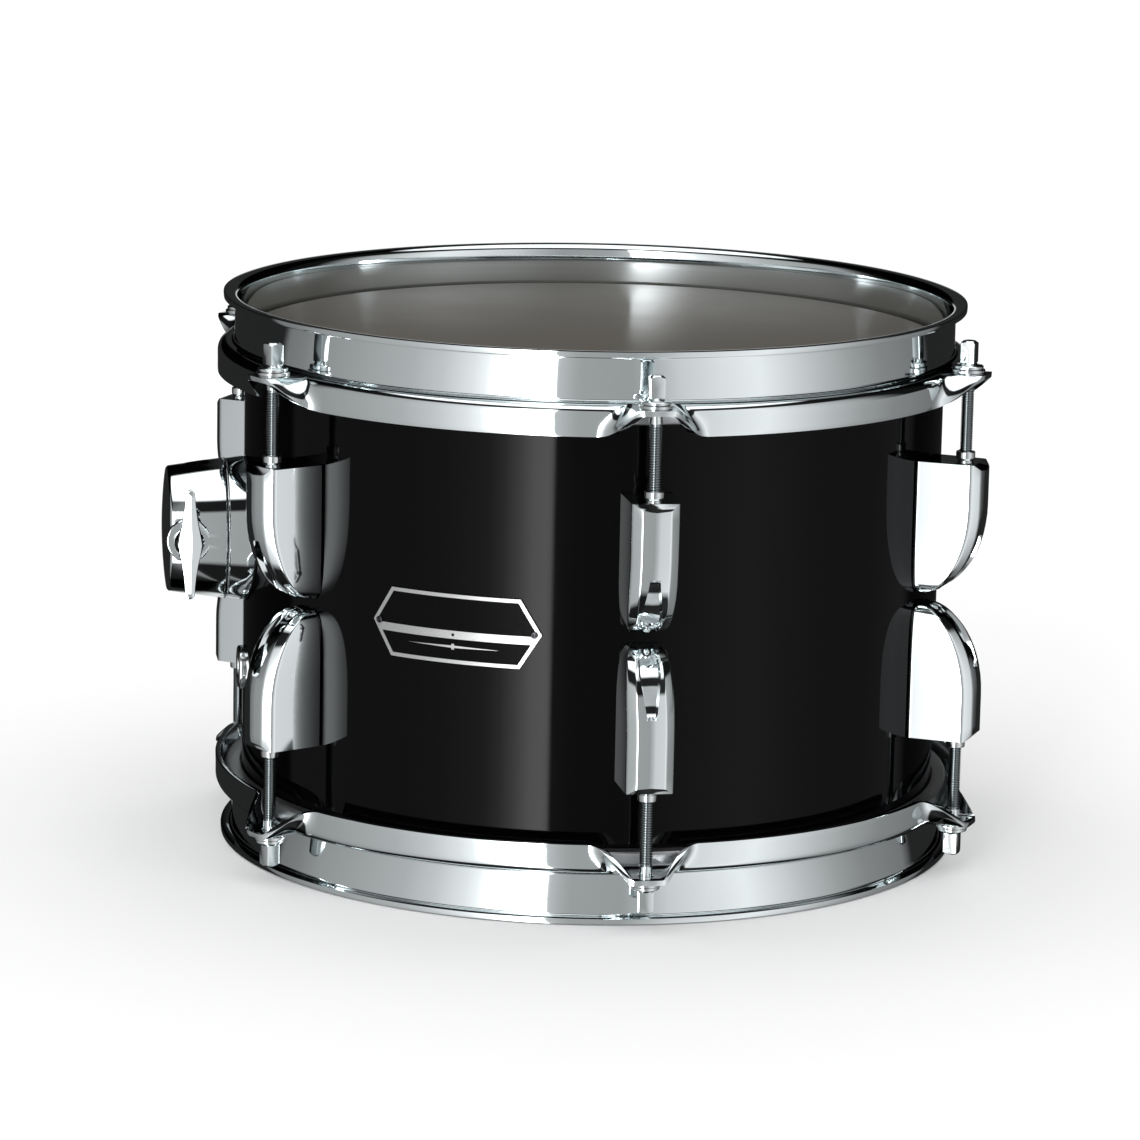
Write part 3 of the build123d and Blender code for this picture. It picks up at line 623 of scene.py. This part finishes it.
def hoopLine(across):                                      # the sheet's middle, rim to skirt edge
    wall, shelf = hoopSizes["wallRadius"], hoopSizes["shelfHeight"]
    line = rounded([(hoopSizes["rimRadius"], hoopSizes["rimHeight"], 0),
                    (wall, hoopSizes["rimHeight"], hoopSizes["bend"]),
                    (wall, shelf, hoopSizes["bend"]), (hoopSizes["rollStart"], shelf, 0)])
    drop = radians(between(across, hoopSizes["turn"]))
    reach = between(across, hoopSizes["reach"])
    roll = hoopSizes["roll"]
    bits = 6
    for bit in range(1, bits + 1):
        part = drop * bit / bits
        line.append((hoopSizes["rollStart"] + roll * sin(part) + 0.01 * bit,
                     shelf - roll * (1 - cos(part))))
    out, down = line[-1]
    for share in (0.25, 0.5, 0.75, 1):
        line.append((out + reach * share * cos(drop), down - reach * share * sin(drop)))
    return line


def buildHoop():
    turns = [0.35 * step for step in range(30)] + [10.5 + 1.5 * step for step in range(14)]
    turns = [turn for turn in turns if turn < 30] + [30]
    lines = []
    for turn in turns:
        across = hoopSizes["rod"] * tan(radians(turn))
        lines.append([(r * sin(radians(turn)), -r * cos(radians(turn)), middle + z)
                      for r, z in hoopLine(across)])
    hoop = pulledThrough("batterHoop", lines, capped=False)
    modified(hoop, "MIRROR", use_axis=(True, False, False), merge_threshold=0.00001)
    sectors = [hoop] + [turned(copyOf(hoop, "sector"), 60 * k) for k in range(1, columns)]
    hoop = joined("batterHoop", sectors)
    editAll(hoop)
    bpy.ops.mesh.remove_doubles(threshold=0.00001)
    bpy.ops.mesh.normals_make_consistent(inside=False)
    bpy.ops.object.mode_set(mode="OBJECT")
    modified(hoop, "SOLIDIFY", thickness=hoopSizes["sheet"] * mm, offset=0, use_even_offset=True)
    for k in range(columns):
        turn = radians(60 * k)
        spot = (hoopSizes["rod"] * sin(turn), -hoopSizes["rod"] * cos(turn),
                middle + hoopSizes["shelfHeight"])
        cutBy(hoop, cylinder("hole", spot, hoopSizes["hole"], 8, sides=24))
    modified(hoop, "BEVEL", width=hoopSizes["edge"] * mm, segments=2, limit_method="ANGLE",
             angle_limit=radians(50))
    tidied(hoop, 40)
    other = upended(copyOf(hoop, "resonantHoop"))
    finished(hoop, hoopChrome, "batter_hoop", "batter_hoop")
    finished(other, hoopChrome, "resonant_hoop", "resonant_hoop")


buildHoop()
print("hoops built")


# tension rods, their washers and the swivel nuts

rodSizes = {
    "circle": 170.4, "radius": 2.75, "root": 2.1, "pitch": 1.0583, "seat": 100.15,
    "length": 52.0, "plain": 8.5, "neck": 2.2, "flange": 6.3, "flangeHeight": 1.5,
    "coneRadius": 3.9, "coneHeight": 1.3, "square": 6.35, "squareHeight": 9.1,
    "chamfer": 0.9, "washer": 7.1, "washerHeight": 1.5, "washerHole": 3.35, "washerSeat": 98.5,
}
nutSizes = {"collar": 4.1, "collarHeight": 4.4, "narrow": 3.3, "hole": 2.8, "flange": 5.0,
            "inside": 11.5, "seat": 60.2, "wall": 2.2}


def place(name, k):                                        # node names count from one
    return f"{name}_{k + 1}"


def buildRods():
    rodChrome = rodPlate()
    circle, seat = -rodSizes["circle"], middle + rodSizes["seat"]
    radius, root = rodSizes["radius"], rodSizes["root"]
    top = seat + rodSizes["flangeHeight"]
    shank = seat - rodSizes["plain"]
    bottom = seat - rodSizes["length"]
    cone = top + rodSizes["coneHeight"]
    outline = rounded([
        (0, shank - 1, 0), (root, shank - 1, 0), (root, shank, 0), (radius, shank + 0.5, 0.2),
        (radius, seat, 0), (rodSizes["flange"], seat, 0.4), (rodSizes["flange"], top, 0.6),
        (rodSizes["coneRadius"], top + 0.1, 0.3), (rodSizes["coneRadius"] - 0.7, cone, 0.2),
        (0, cone, 0)], bits=3)
    head = spun("head", [(r, circle, z) for r, z in outline], centre=(0, circle, 0), steps=32)
    # square for the drum key, its top corners ground off
    clearAll()
    bpy.ops.mesh.primitive_cube_add(
        size=1, location=(0, circle * mm, (cone + rodSizes["squareHeight"] / 2 - 0.2) * mm))
    square = named("square")
    square.scale = (rodSizes["square"] * mm, rodSizes["square"] * mm,
                    (rodSizes["squareHeight"] + 0.4) * mm)
    settle(square)
    modified(square, "BEVEL", width=0.45 * mm, segments=2, limit_method="ANGLE")
    tip = cone + rodSizes["squareHeight"]
    grinder = spun("grinder", [(r, circle, z) for r, z in rounded([
        (0, cone - 1, 0), (rodSizes["square"], cone - 1, 0), (rodSizes["square"], tip - 2.4, 0),
        (rodSizes["square"] / 2 + 0.1, tip - 0.5, 0.4), (rodSizes["square"] / 2 - 0.6, tip, 0),
        (0, tip, 0)], bits=2)], centre=(0, circle, 0), steps=32)
    cutBy(square, grinder, "INTERSECT")
    # the thread is one tooth screwed down the shank
    pitch = rodSizes["pitch"]
    count = int((shank - bottom) / pitch) - 1
    tooth = [(root, 0), (radius, 0.42 * pitch), (radius, 0.58 * pitch), (root, pitch)]
    thread = drawn("thread", [(r, circle, bottom + 0.4 + z) for r, z in tooth])
    bpy.ops.mesh.select_all(action="SELECT")
    bpy.ops.object.mode_set(mode="OBJECT")
    bpy.context.scene.cursor.location = (0, circle * mm, 0)
    choose(thread)
    bpy.ops.object.origin_set(type="ORIGIN_CURSOR")
    modified(thread, "SCREW", screw_offset=pitch * mm, iterations=count, steps=18,
             render_steps=18, axis="Z", use_merge_vertices=True, merge_threshold=0.000004)
    settle(thread)
    for end, level in ((-1, bottom), (1, bottom + 0.4 + (count + 1) * pitch)):
        editAll(thread)
        bpy.ops.mesh.remove_doubles(threshold=0.000003)
        bpy.ops.mesh.select_all(action="DESELECT")
        bpy.ops.mesh.select_non_manifold()
        mesh = bmesh.from_edit_mesh(thread.data)
        half = (bottom + shank) / 2 * mm
        for vert in mesh.verts:
            if vert.select and (vert.co.z - half) * end < 0:
                vert.select_set(False)
        mesh.select_flush(False)
        bmesh.update_edit_mesh(thread.data)
        bpy.ops.mesh.extrude_region_move()
        bpy.ops.transform.resize(value=(0.86, 0.86, 0), center_override=(0, circle * mm, level * mm))
        bpy.ops.mesh.extrude_region_move()
        bpy.ops.mesh.merge(type="CENTER")
    tidied(thread, 28)
    rod = joined("rodPattern", [head, square, thread])
    tidied(rod, 28)
    for k in range(columns):
        upper = turned(copyOf(rod, place("batterRod", k)), 60 * k)
        lower = upended(copyOf(upper, place("resonantRod", k)))
        finished(upper, rodChrome, place("batter_rod", k), place("batter_rod", k))
        finished(lower, rodChrome, place("resonant_rod", k), place("resonant_rod", k))
    bpy.data.objects.remove(rod)


def ringOf(pattern, name):                                 # the pattern once at each column
    copies = [turned(copyOf(pattern, name), 60 * k) for k in range(columns)]
    bpy.data.objects.remove(pattern)
    return joined(name, copies)


def buildWashersAndNuts():
    circle = -rodSizes["circle"]
    low = rodSizes["washerSeat"]
    outline = rounded([(rodSizes["washerHole"], low, 0.2), (rodSizes["washer"], low, 0.4),
                       (rodSizes["washer"], low + rodSizes["washerHeight"], 0.4),
                       (rodSizes["washerHole"], low + rodSizes["washerHeight"], 0.2)],
                      bits=2, closed=True)
    washer = spun("washer", [(r, circle, middle + z) for r, z in outline],
                  centre=(0, circle, 0), steps=32)
    washers = ringOf(washer, "batterWashers")
    seat, hole, collar = nutSizes["seat"], nutSizes["hole"], nutSizes["collar"]
    outline = rounded([(hole, seat - nutSizes["wall"] - nutSizes["inside"], 0.2),
                       (nutSizes["flange"], seat - nutSizes["wall"] - nutSizes["inside"], 0.5),
                       (nutSizes["flange"], seat - nutSizes["wall"] - 0.05, 0.2),
                       (nutSizes["narrow"], seat - nutSizes["wall"] - 0.05, 0),
                       (nutSizes["narrow"], seat + 0.5, 0.2), (collar, seat + 1.6, 0.4),
                       (collar, seat + nutSizes["collarHeight"], 0.5),
                       (hole, seat + nutSizes["collarHeight"], 0.3)], bits=3, closed=True)
    nut = spun("nut", [(r, circle, middle + z) for r, z in outline],
               centre=(0, circle, 0), steps=40)
    nuts = ringOf(nut, "batterSwivelNuts")
    lowerWashers = upended(copyOf(washers, "resonantWashers"))
    lowerNuts = upended(copyOf(nuts, "resonantSwivelNuts"))
    finished(washers, nickel, "batter_hoop", "batter_rod_washers")
    finished(lowerWashers, nickel, "resonant_hoop", "resonant_rod_washers")
    finished(nuts, nickel, "drum", "batter_swivel_nuts")
    finished(lowerNuts, nickel, "drum", "resonant_swivel_nuts")


buildRods()
buildWashersAndNuts()
print("rods built")


# lugs: a ridged, faceted front that curves down to the shell, with a scoop in its rounded end

lugSizes = {
    "reach": 27.6, "end": 60.2, "curve": 41.2, "fall": 38.8, "gasket": 0.6,
    "base": 11.0, "side": 10.0, "sideBack": 3.9, "face": 6.1, "faceBack": 0.6,
    "capIn": 3.1, "capDown": 4.2, "round": 2.2, "edge": 0.45,
    # degrees round the curve, then the scoop's half width and depth and the lug's slimming
    "scoopWidth": ((18, 2.2), (30, 3.0), (50, 4.6), (64, 5.4), (90, 5.6)),
    "scoopDepth": ((18.2, 0), (19.9, 1.9), (40, 2.3), (62, 2.3), (80, 1.2), (90, 0.2)),
    "slim": ((0, 1.0), (25, 1.0), (45, 0.96), (60, 0.88), (72, 0.77), (82, 0.63), (90, 0.5)),
    "stops": (0, 6, 12, 18.2, 19.9, 25, 31, 37, 43, 49, 55, 61, 67, 73, 78, 82.5, 86, 88.6),
    "fingertip": (3.7, 5.6, 5.0), "fingertipSpot": (5.2, 7.9),
}


def lugSection(height, share, slim, scoop, depth):
    back = shellRadius + lugSizes["gasket"] - 0.05
    base, side, face = (lugSizes[key] * slim for key in ("base", "side", "face"))
    sideOut = shellRadius + (lugSizes["reach"] - lugSizes["sideBack"]) * share
    faceOut = shellRadius + (lugSizes["reach"] - lugSizes["faceBack"]) * share
    ridge = shellRadius + lugSizes["reach"] * share
    soft = lugSizes["round"] * share * slim + 0.02
    scoop = min(scoop, face * 0.8)
    floorWide = scoop * 0.82
    fall = (ridge - faceOut) / face
    depth *= share ** 0.35
    flat = [(-base, back - 1, 0), (-side, sideOut, soft * 1.3), (-face, faceOut, soft),
            (-scoop, ridge - fall * scoop, 0)]
    line = [(-base, back)] + rounded(flat, bits=5)[1:]
    line += [(-floorWide, ridge - fall * floorWide - depth), (0, ridge - depth * 1.08)]
    line = [(x, max(out, back + 0.004 * (base + x))) for x, out in line]
    line += [(-x, out) for x, out in reversed(line[:-1])]
    return [(x, -out, middle + height) for x, out in line]


def buildLugs():
    end, capIn, capDown = lugSizes["end"], lugSizes["capIn"], lugSizes["capDown"]
    sections = [lugSection(height, 1, 1, 2.2, 0) for height in (end, 54, 48)]
    for stop in lugSizes["stops"]:
        turn = radians(stop)
        sections.append(lugSection(
            lugSizes["curve"] - lugSizes["fall"] * sin(turn), cos(turn),
            between(stop, lugSizes["slim"]), between(stop, lugSizes["scoopWidth"]),
            between(stop, lugSizes["scoopDepth"])))
    lug = pulledThrough("lugPattern", sections, smooth=24)
    editAll(lug)                                           # the slope at the flat end
    bpy.ops.mesh.bisect(
        plane_co=(0, -(shellRadius + lugSizes["reach"] - capIn) * mm, (middle + end) * mm),
        plane_no=(0, -capDown, capIn), use_fill=True, clear_outer=True)
    bpy.ops.object.mode_set(mode="OBJECT")
    modified(lug, "BEVEL", width=lugSizes["edge"] * mm, segments=2, limit_method="ANGLE",
             angle_limit=radians(32))
    clearAll()
    out, height = lugSizes["fingertipSpot"]
    bpy.ops.mesh.primitive_uv_sphere_add(
        segments=28, ring_count=18, radius=mm,
        location=(0, -(shellRadius + out) * mm, (middle + height) * mm))
    fingertip = named("fingertip")
    fingertip.scale = lugSizes["fingertip"]
    settle(fingertip)
    cutBy(fingertip, cylinder("shellSpace", (0, 0, middle), shellRadius + 0.7, 200, sides=180))
    lug = tidied(joined("lugPattern", [lug, fingertip]), 32)
    for k in range(columns):
        upper = turned(copyOf(lug, place("batterLug", k)), 60 * k)
        lower = upended(copyOf(upper, place("resonantLug", k)))
        finished(upper, castChrome, "drum", place("batter_lug", k))
        finished(lower, castChrome, "drum", place("resonant_lug", k))
    bpy.data.objects.remove(lug)


buildLugs()
print("lugs built")


# rod bracket: a round base, a domed housing with a pad for the wing nut, and the wing nut

bracketSizes = {
    "height": 136.7, "base": 31.6, "seam": 161.7, "seamRadius": 30.7, "face": 186.2,
    "faceRadius": 27.2, "crown": 1.8, "wall": 3.2, "bore": 5.5, "boreOut": 173.0,
    "tube": 9.1, "boltOut": 178.4, "boltHole": 4.6, "pad": 9.5, "padFace": 29.5,
    "gasket": 0.8, "seamGap": 0.35,
}
wingSizes = {
    "seat": 29.8, "hub": 6.5, "hubHeight": 7.5, "hole": 4.05, "cap": 10.0,
    "back": 4.6,
    "slopes": (16, 9),                                  # of the wing's left and right face
    # height from the middle, half width, thickness at the ridge
    "blade": ((0, 5.5, 5.5), (4, 4.75, 5.2), (9, 3.6, 4.6), (14, 2.75, 4.1), (18, 2.3, 3.8),
              (20.5, 2.15, 3.7), (22.4, 1.9, 3.4), (23.4, 1.1, 2.6), (23.7, 0.3, 1.8)),
}


def bracketRing(name, outline, steps=128, smooth=25):
    height = bracketSizes["height"]
    return spun(name, [(-distance, 0, height + r) for distance, r in outline],
                centre=(0, 0, height), axis=(1, 0, 0), steps=steps, smooth=smooth)


def buildBracket():
    height, seam, seamRadius = (bracketSizes[key] for key in ("height", "seam", "seamRadius"))
    face, faceRadius, wall = (bracketSizes[key] for key in ("face", "faceRadius", "wall"))
    base = bracketRing("bracketBase", rounded([
        (147, 0, 0), (147, bracketSizes["base"] + 0.2, 0), (shellRadius + 1, bracketSizes["base"], 0),
        (seam - 1.2, seamRadius - 0.1, 0.6),
        (seam - bracketSizes["seamGap"], seamRadius, 0.3),
        (seam - bracketSizes["seamGap"], 0, 0)], bits=3))
    cutBy(base, cylinder("shellSpace", (0, 0, height), shellRadius + bracketSizes["gasket"] + 0.02,
                         90, sides=360))
    bpy.ops.object.shade_smooth_by_angle(angle=radians(25))
    crown = face + bracketSizes["crown"]
    dome = [(face + bracketSizes["crown"] * (1 - (r / faceRadius) ** 2), r)
            for r in (22, 18, 13, 8, 4)]
    housing = bracketRing("bracketHousing", rounded(
        [(seam, seamRadius - wall, 0), (seam, seamRadius, 0.5), (face, faceRadius, 1.7)]
        + [(distance, r, 0) for distance, r in dome] + [(crown, 0, 0)]
        + [(face - wall, 0, 0), (face - wall, faceRadius - wall, 0.8)], bits=4, closed=True))
    pad = cylinder("pad", (-bracketSizes["boltOut"], -bracketSizes["padFace"] + 2.5, height),
                   bracketSizes["pad"], 5, axis="Y", sides=64)
    modified(pad, "BEVEL", width=0.8 * mm, segments=3, limit_method="ANGLE",
             angle_limit=radians(50))
    cutBy(housing, pad, "UNION")
    for sign in (1, -1):
        tube = cylinder("tube", (-bracketSizes["boreOut"], 0, height + sign * 16),
                        bracketSizes["tube"], 22)
        cutBy(housing, tube, "UNION")
    cutBy(housing, cylinder("bore", (-bracketSizes["boreOut"], 0, height), bracketSizes["bore"], 70))
    cutBy(housing, cylinder("bolt", (-bracketSizes["boltOut"], -22, height),
                            bracketSizes["boltHole"], 25, axis="Y", sides=32))
    tidied(housing, 25)
    finished(base, castChrome, "drum", "bracket_base")
    finished(housing, castChrome, "drum", "bracket_housing")


def buildWingNut():
    out, height, seat = bracketSizes["boltOut"], bracketSizes["height"], wingSizes["seat"]
    outline = rounded([(wingSizes["hole"], seat, 0.2), (wingSizes["hub"], seat, 0.3),
                       (wingSizes["hub"], seat + 3.2, 0.5), (4.9, seat + wingSizes["hubHeight"], 0.4),
                       (wingSizes["hole"], seat + wingSizes["hubHeight"], 0.2)],
                      bits=3, closed=True)
    hub = spun("hub", [(-out + r, -distance, height) for r, distance in outline],
               centre=(-out, 0, height), axis=(0, 1, 0), steps=48)
    # the wing is a slim diamond with a ridge down its front, thinner towards its round ends
    front = -(seat + wingSizes["cap"])
    back = front + wingSizes["back"]
    blade = wingSizes["blade"]
    rows = [(-z, half, thick) for z, half, thick in reversed(blade[1:])] + list(blade)
    slopes = [tan(radians(angle)) for angle in wingSizes["slopes"]]
    sections = []
    for z, half, thick in rows:
        level = front + (5.5 - thick) * 0.55
        ridge = -out + 0.12 * half
        left, right = (half * 0.9 + ridge + out) * slopes[0], (half * 0.9 - ridge - out) * slopes[1]
        sections.append([(-out - half, level + left + 0.2 * half, height + z),
                         (-out - half * 0.9, level + left, height + z),
                         (ridge, level, height + z),
                         (-out + half * 0.9, level + right, height + z),
                         (-out + half, level + right + 0.2 * half, height + z),
                         (-out + half * 0.7, min(level + thick, back), height + z),
                         (-out - half * 0.7, min(level + thick, back), height + z)])
    wing = pulledThrough("wing", sections, smooth=24)
    nut = tidied(joined("wingNut", [hub, wing]), 24)
    finished(nut, castChrome, "wing_nut", "wing_nut")


buildBracket()
buildWingNut()
print("bracket built")


# badge: a hexagonal plate curved round the shell, with a bright border, bar and line

badgeSizes = {
    "azimuth": 330, "offset": 1.5, "length": 38.2, "flat": 29.0, "height": 14.8, "plate": 0.55,
    "raise": 0.7, "border": 1.55, "barHeight": 3.4, "barSpot": -2.5, "lineHeight": 1.0,
    "lineSpot": -7.5, "lineLength": 20.5, "tick": (0.6, 1.2), "dot": 0.65, "step": 1.6,
    "pin": 1.5, "pinInset": 3.4, "pinHeight": 0.95,
}


def badgeLayer(name, outline, low, high):                  # a flat shape bent round the shell
    shape = drawn(name, [(x, 0, z) for x, z in outline + outline[:1]])
    bpy.ops.mesh.select_all(action="SELECT")
    bpy.ops.mesh.remove_doubles(threshold=0.000003)
    bpy.ops.mesh.edge_face_add()
    bpy.ops.mesh.extrude_region_move(TRANSFORM_OT_translate={"value": (0, -(high - low) * mm, 0)})
    widest = max(x for x, z in outline)
    for cut in range(int(-widest / badgeSizes["step"]), int(widest / badgeSizes["step"]) + 1):
        bpy.ops.mesh.select_all(action="SELECT")
        bpy.ops.mesh.bisect(plane_co=(cut * badgeSizes["step"] * mm, 0, 0), plane_no=(1, 0, 0))
    bpy.ops.object.mode_set(mode="OBJECT")
    for vert in shape.data.vertices:
        out = (shellRadius + low) * mm - vert.co.y
        turn = radians(badgeSizes["azimuth"]) + vert.co.x / (shellRadius * mm)
        vert.co = (out * sin(turn), -out * cos(turn), vert.co.z + middle * mm)
    return tidied(shape, 20)


def hexagon(shrink):
    length, flat, height = (badgeSizes[key] for key in ("length", "flat", "height"))
    slant = sqrt((length - flat) ** 2 + height ** 2)
    inLength = length - shrink * slant / height
    inHeight = height - shrink
    inFlat = inLength - inHeight * (length - flat) / height
    return [(inLength, 0), (inFlat, inHeight), (-inFlat, inHeight), (-inLength, 0),
            (-inFlat, -inHeight), (inFlat, -inHeight)]


def edgeAt(z, shrink):                                     # half length of the hexagon at a height
    (length, _), (flat, height) = hexagon(shrink)[:2]
    return length - (length - flat) * abs(z) / height


def strip(spot, height):
    upper, lower = (edgeAt(z, badgeSizes["border"] * 0.6)
                    for z in (spot + height / 2, spot - height / 2))
    return [(upper, spot + height / 2), (-upper, spot + height / 2),
            (-lower, spot - height / 2), (lower, spot - height / 2)]


def buildBadge():
    plate = badgeLayer("badgePlate", hexagon(0), 0.02, badgeSizes["plate"])
    border = badgeLayer("border", hexagon(0.25), 0.3, badgeSizes["raise"])
    cutBy(border, badgeLayer("window", hexagon(badgeSizes["border"] + 0.25), 0, 3))
    parts = [border]
    bar, line = badgeSizes["barSpot"], badgeSizes["lineSpot"]
    parts.append(badgeLayer("bar", strip(bar, badgeSizes["barHeight"]), 0.3, badgeSizes["raise"]))
    long, thick = badgeSizes["lineLength"], badgeSizes["lineHeight"] / 2
    tickWide, tickHigh = badgeSizes["tick"]
    needle = [(long, line), (tickWide, line + thick), (tickWide, line + tickHigh),
              (-tickWide, line + tickHigh), (-tickWide, line + thick), (-long, line),
              (-tickWide, line - thick), (-tickWide, line - tickHigh),
              (tickWide, line - tickHigh), (tickWide, line - thick)]
    parts.append(badgeLayer("line", needle, 0.3, badgeSizes["raise"] - 0.02))
    silver = tidied(joined("badgeBorder", parts), 20)
    circle = [(badgeSizes["dot"] * cos(radians(30 * k)), bar + badgeSizes["dot"] * sin(radians(30 * k)))
              for k in range(12)]
    dark = badgeLayer("badgeDot", circle, 0.3, badgeSizes["raise"] + 0.04)
    finished(plate, enamel, "drum", "badge_plate")
    for piece, material in ((silver, badgeSilver), (dark, enamel)):
        finished(piece, material, "drum", "badge_plate")
    # ring headed pins at the two points
    pins = []
    turn = (badgeSizes["length"] - badgeSizes["pinInset"]) / shellRadius * 180 / pi
    face = shellRadius + badgeSizes["plate"]
    for side in (-1, 1):
        outline = rounded([(0, face - 3, 0), (0.8, face - 3, 0), (0.8, face, 0),
                           (badgeSizes["pin"], face, 0.2),
                           (badgeSizes["pin"], face + badgeSizes["pinHeight"], 0.4),
                           (0.65, face + badgeSizes["pinHeight"], 0.2), (0.55, face + 0.4, 0.1),
                           (0, face + 0.4, 0)], bits=3)
        pin = spun("pin", [(r, -distance, middle) for r, distance in outline],
                   centre=(0, 0, middle), axis=(0, 1, 0), steps=28)
        pins.append(turned(pin, badgeSizes["azimuth"] + side * turn))
    finished(joined("badgePins", pins), blackNickel, "drum", "badge_pins")


buildBadge()
print("badge built")


# the frame's own solids that stay in sight

for side in ends:
    kept = {"_lug_gaskets": rubber, "_lug_screws": steel, "_lug_screw_washers": steel}
    for name, material in kept.items():
        nodes[side + name].data.materials.clear()
        nodes[side + name].data.materials.append(material)
for name, material in {"bracket_gasket": rubber, "bracket_screws": steel,
                       "bracket_screw_washers": steel, "eye_bolt": steel}.items():
    nodes[name].data.materials.clear()
    nodes[name].data.materials.append(material)
clearAll()

print("ready")
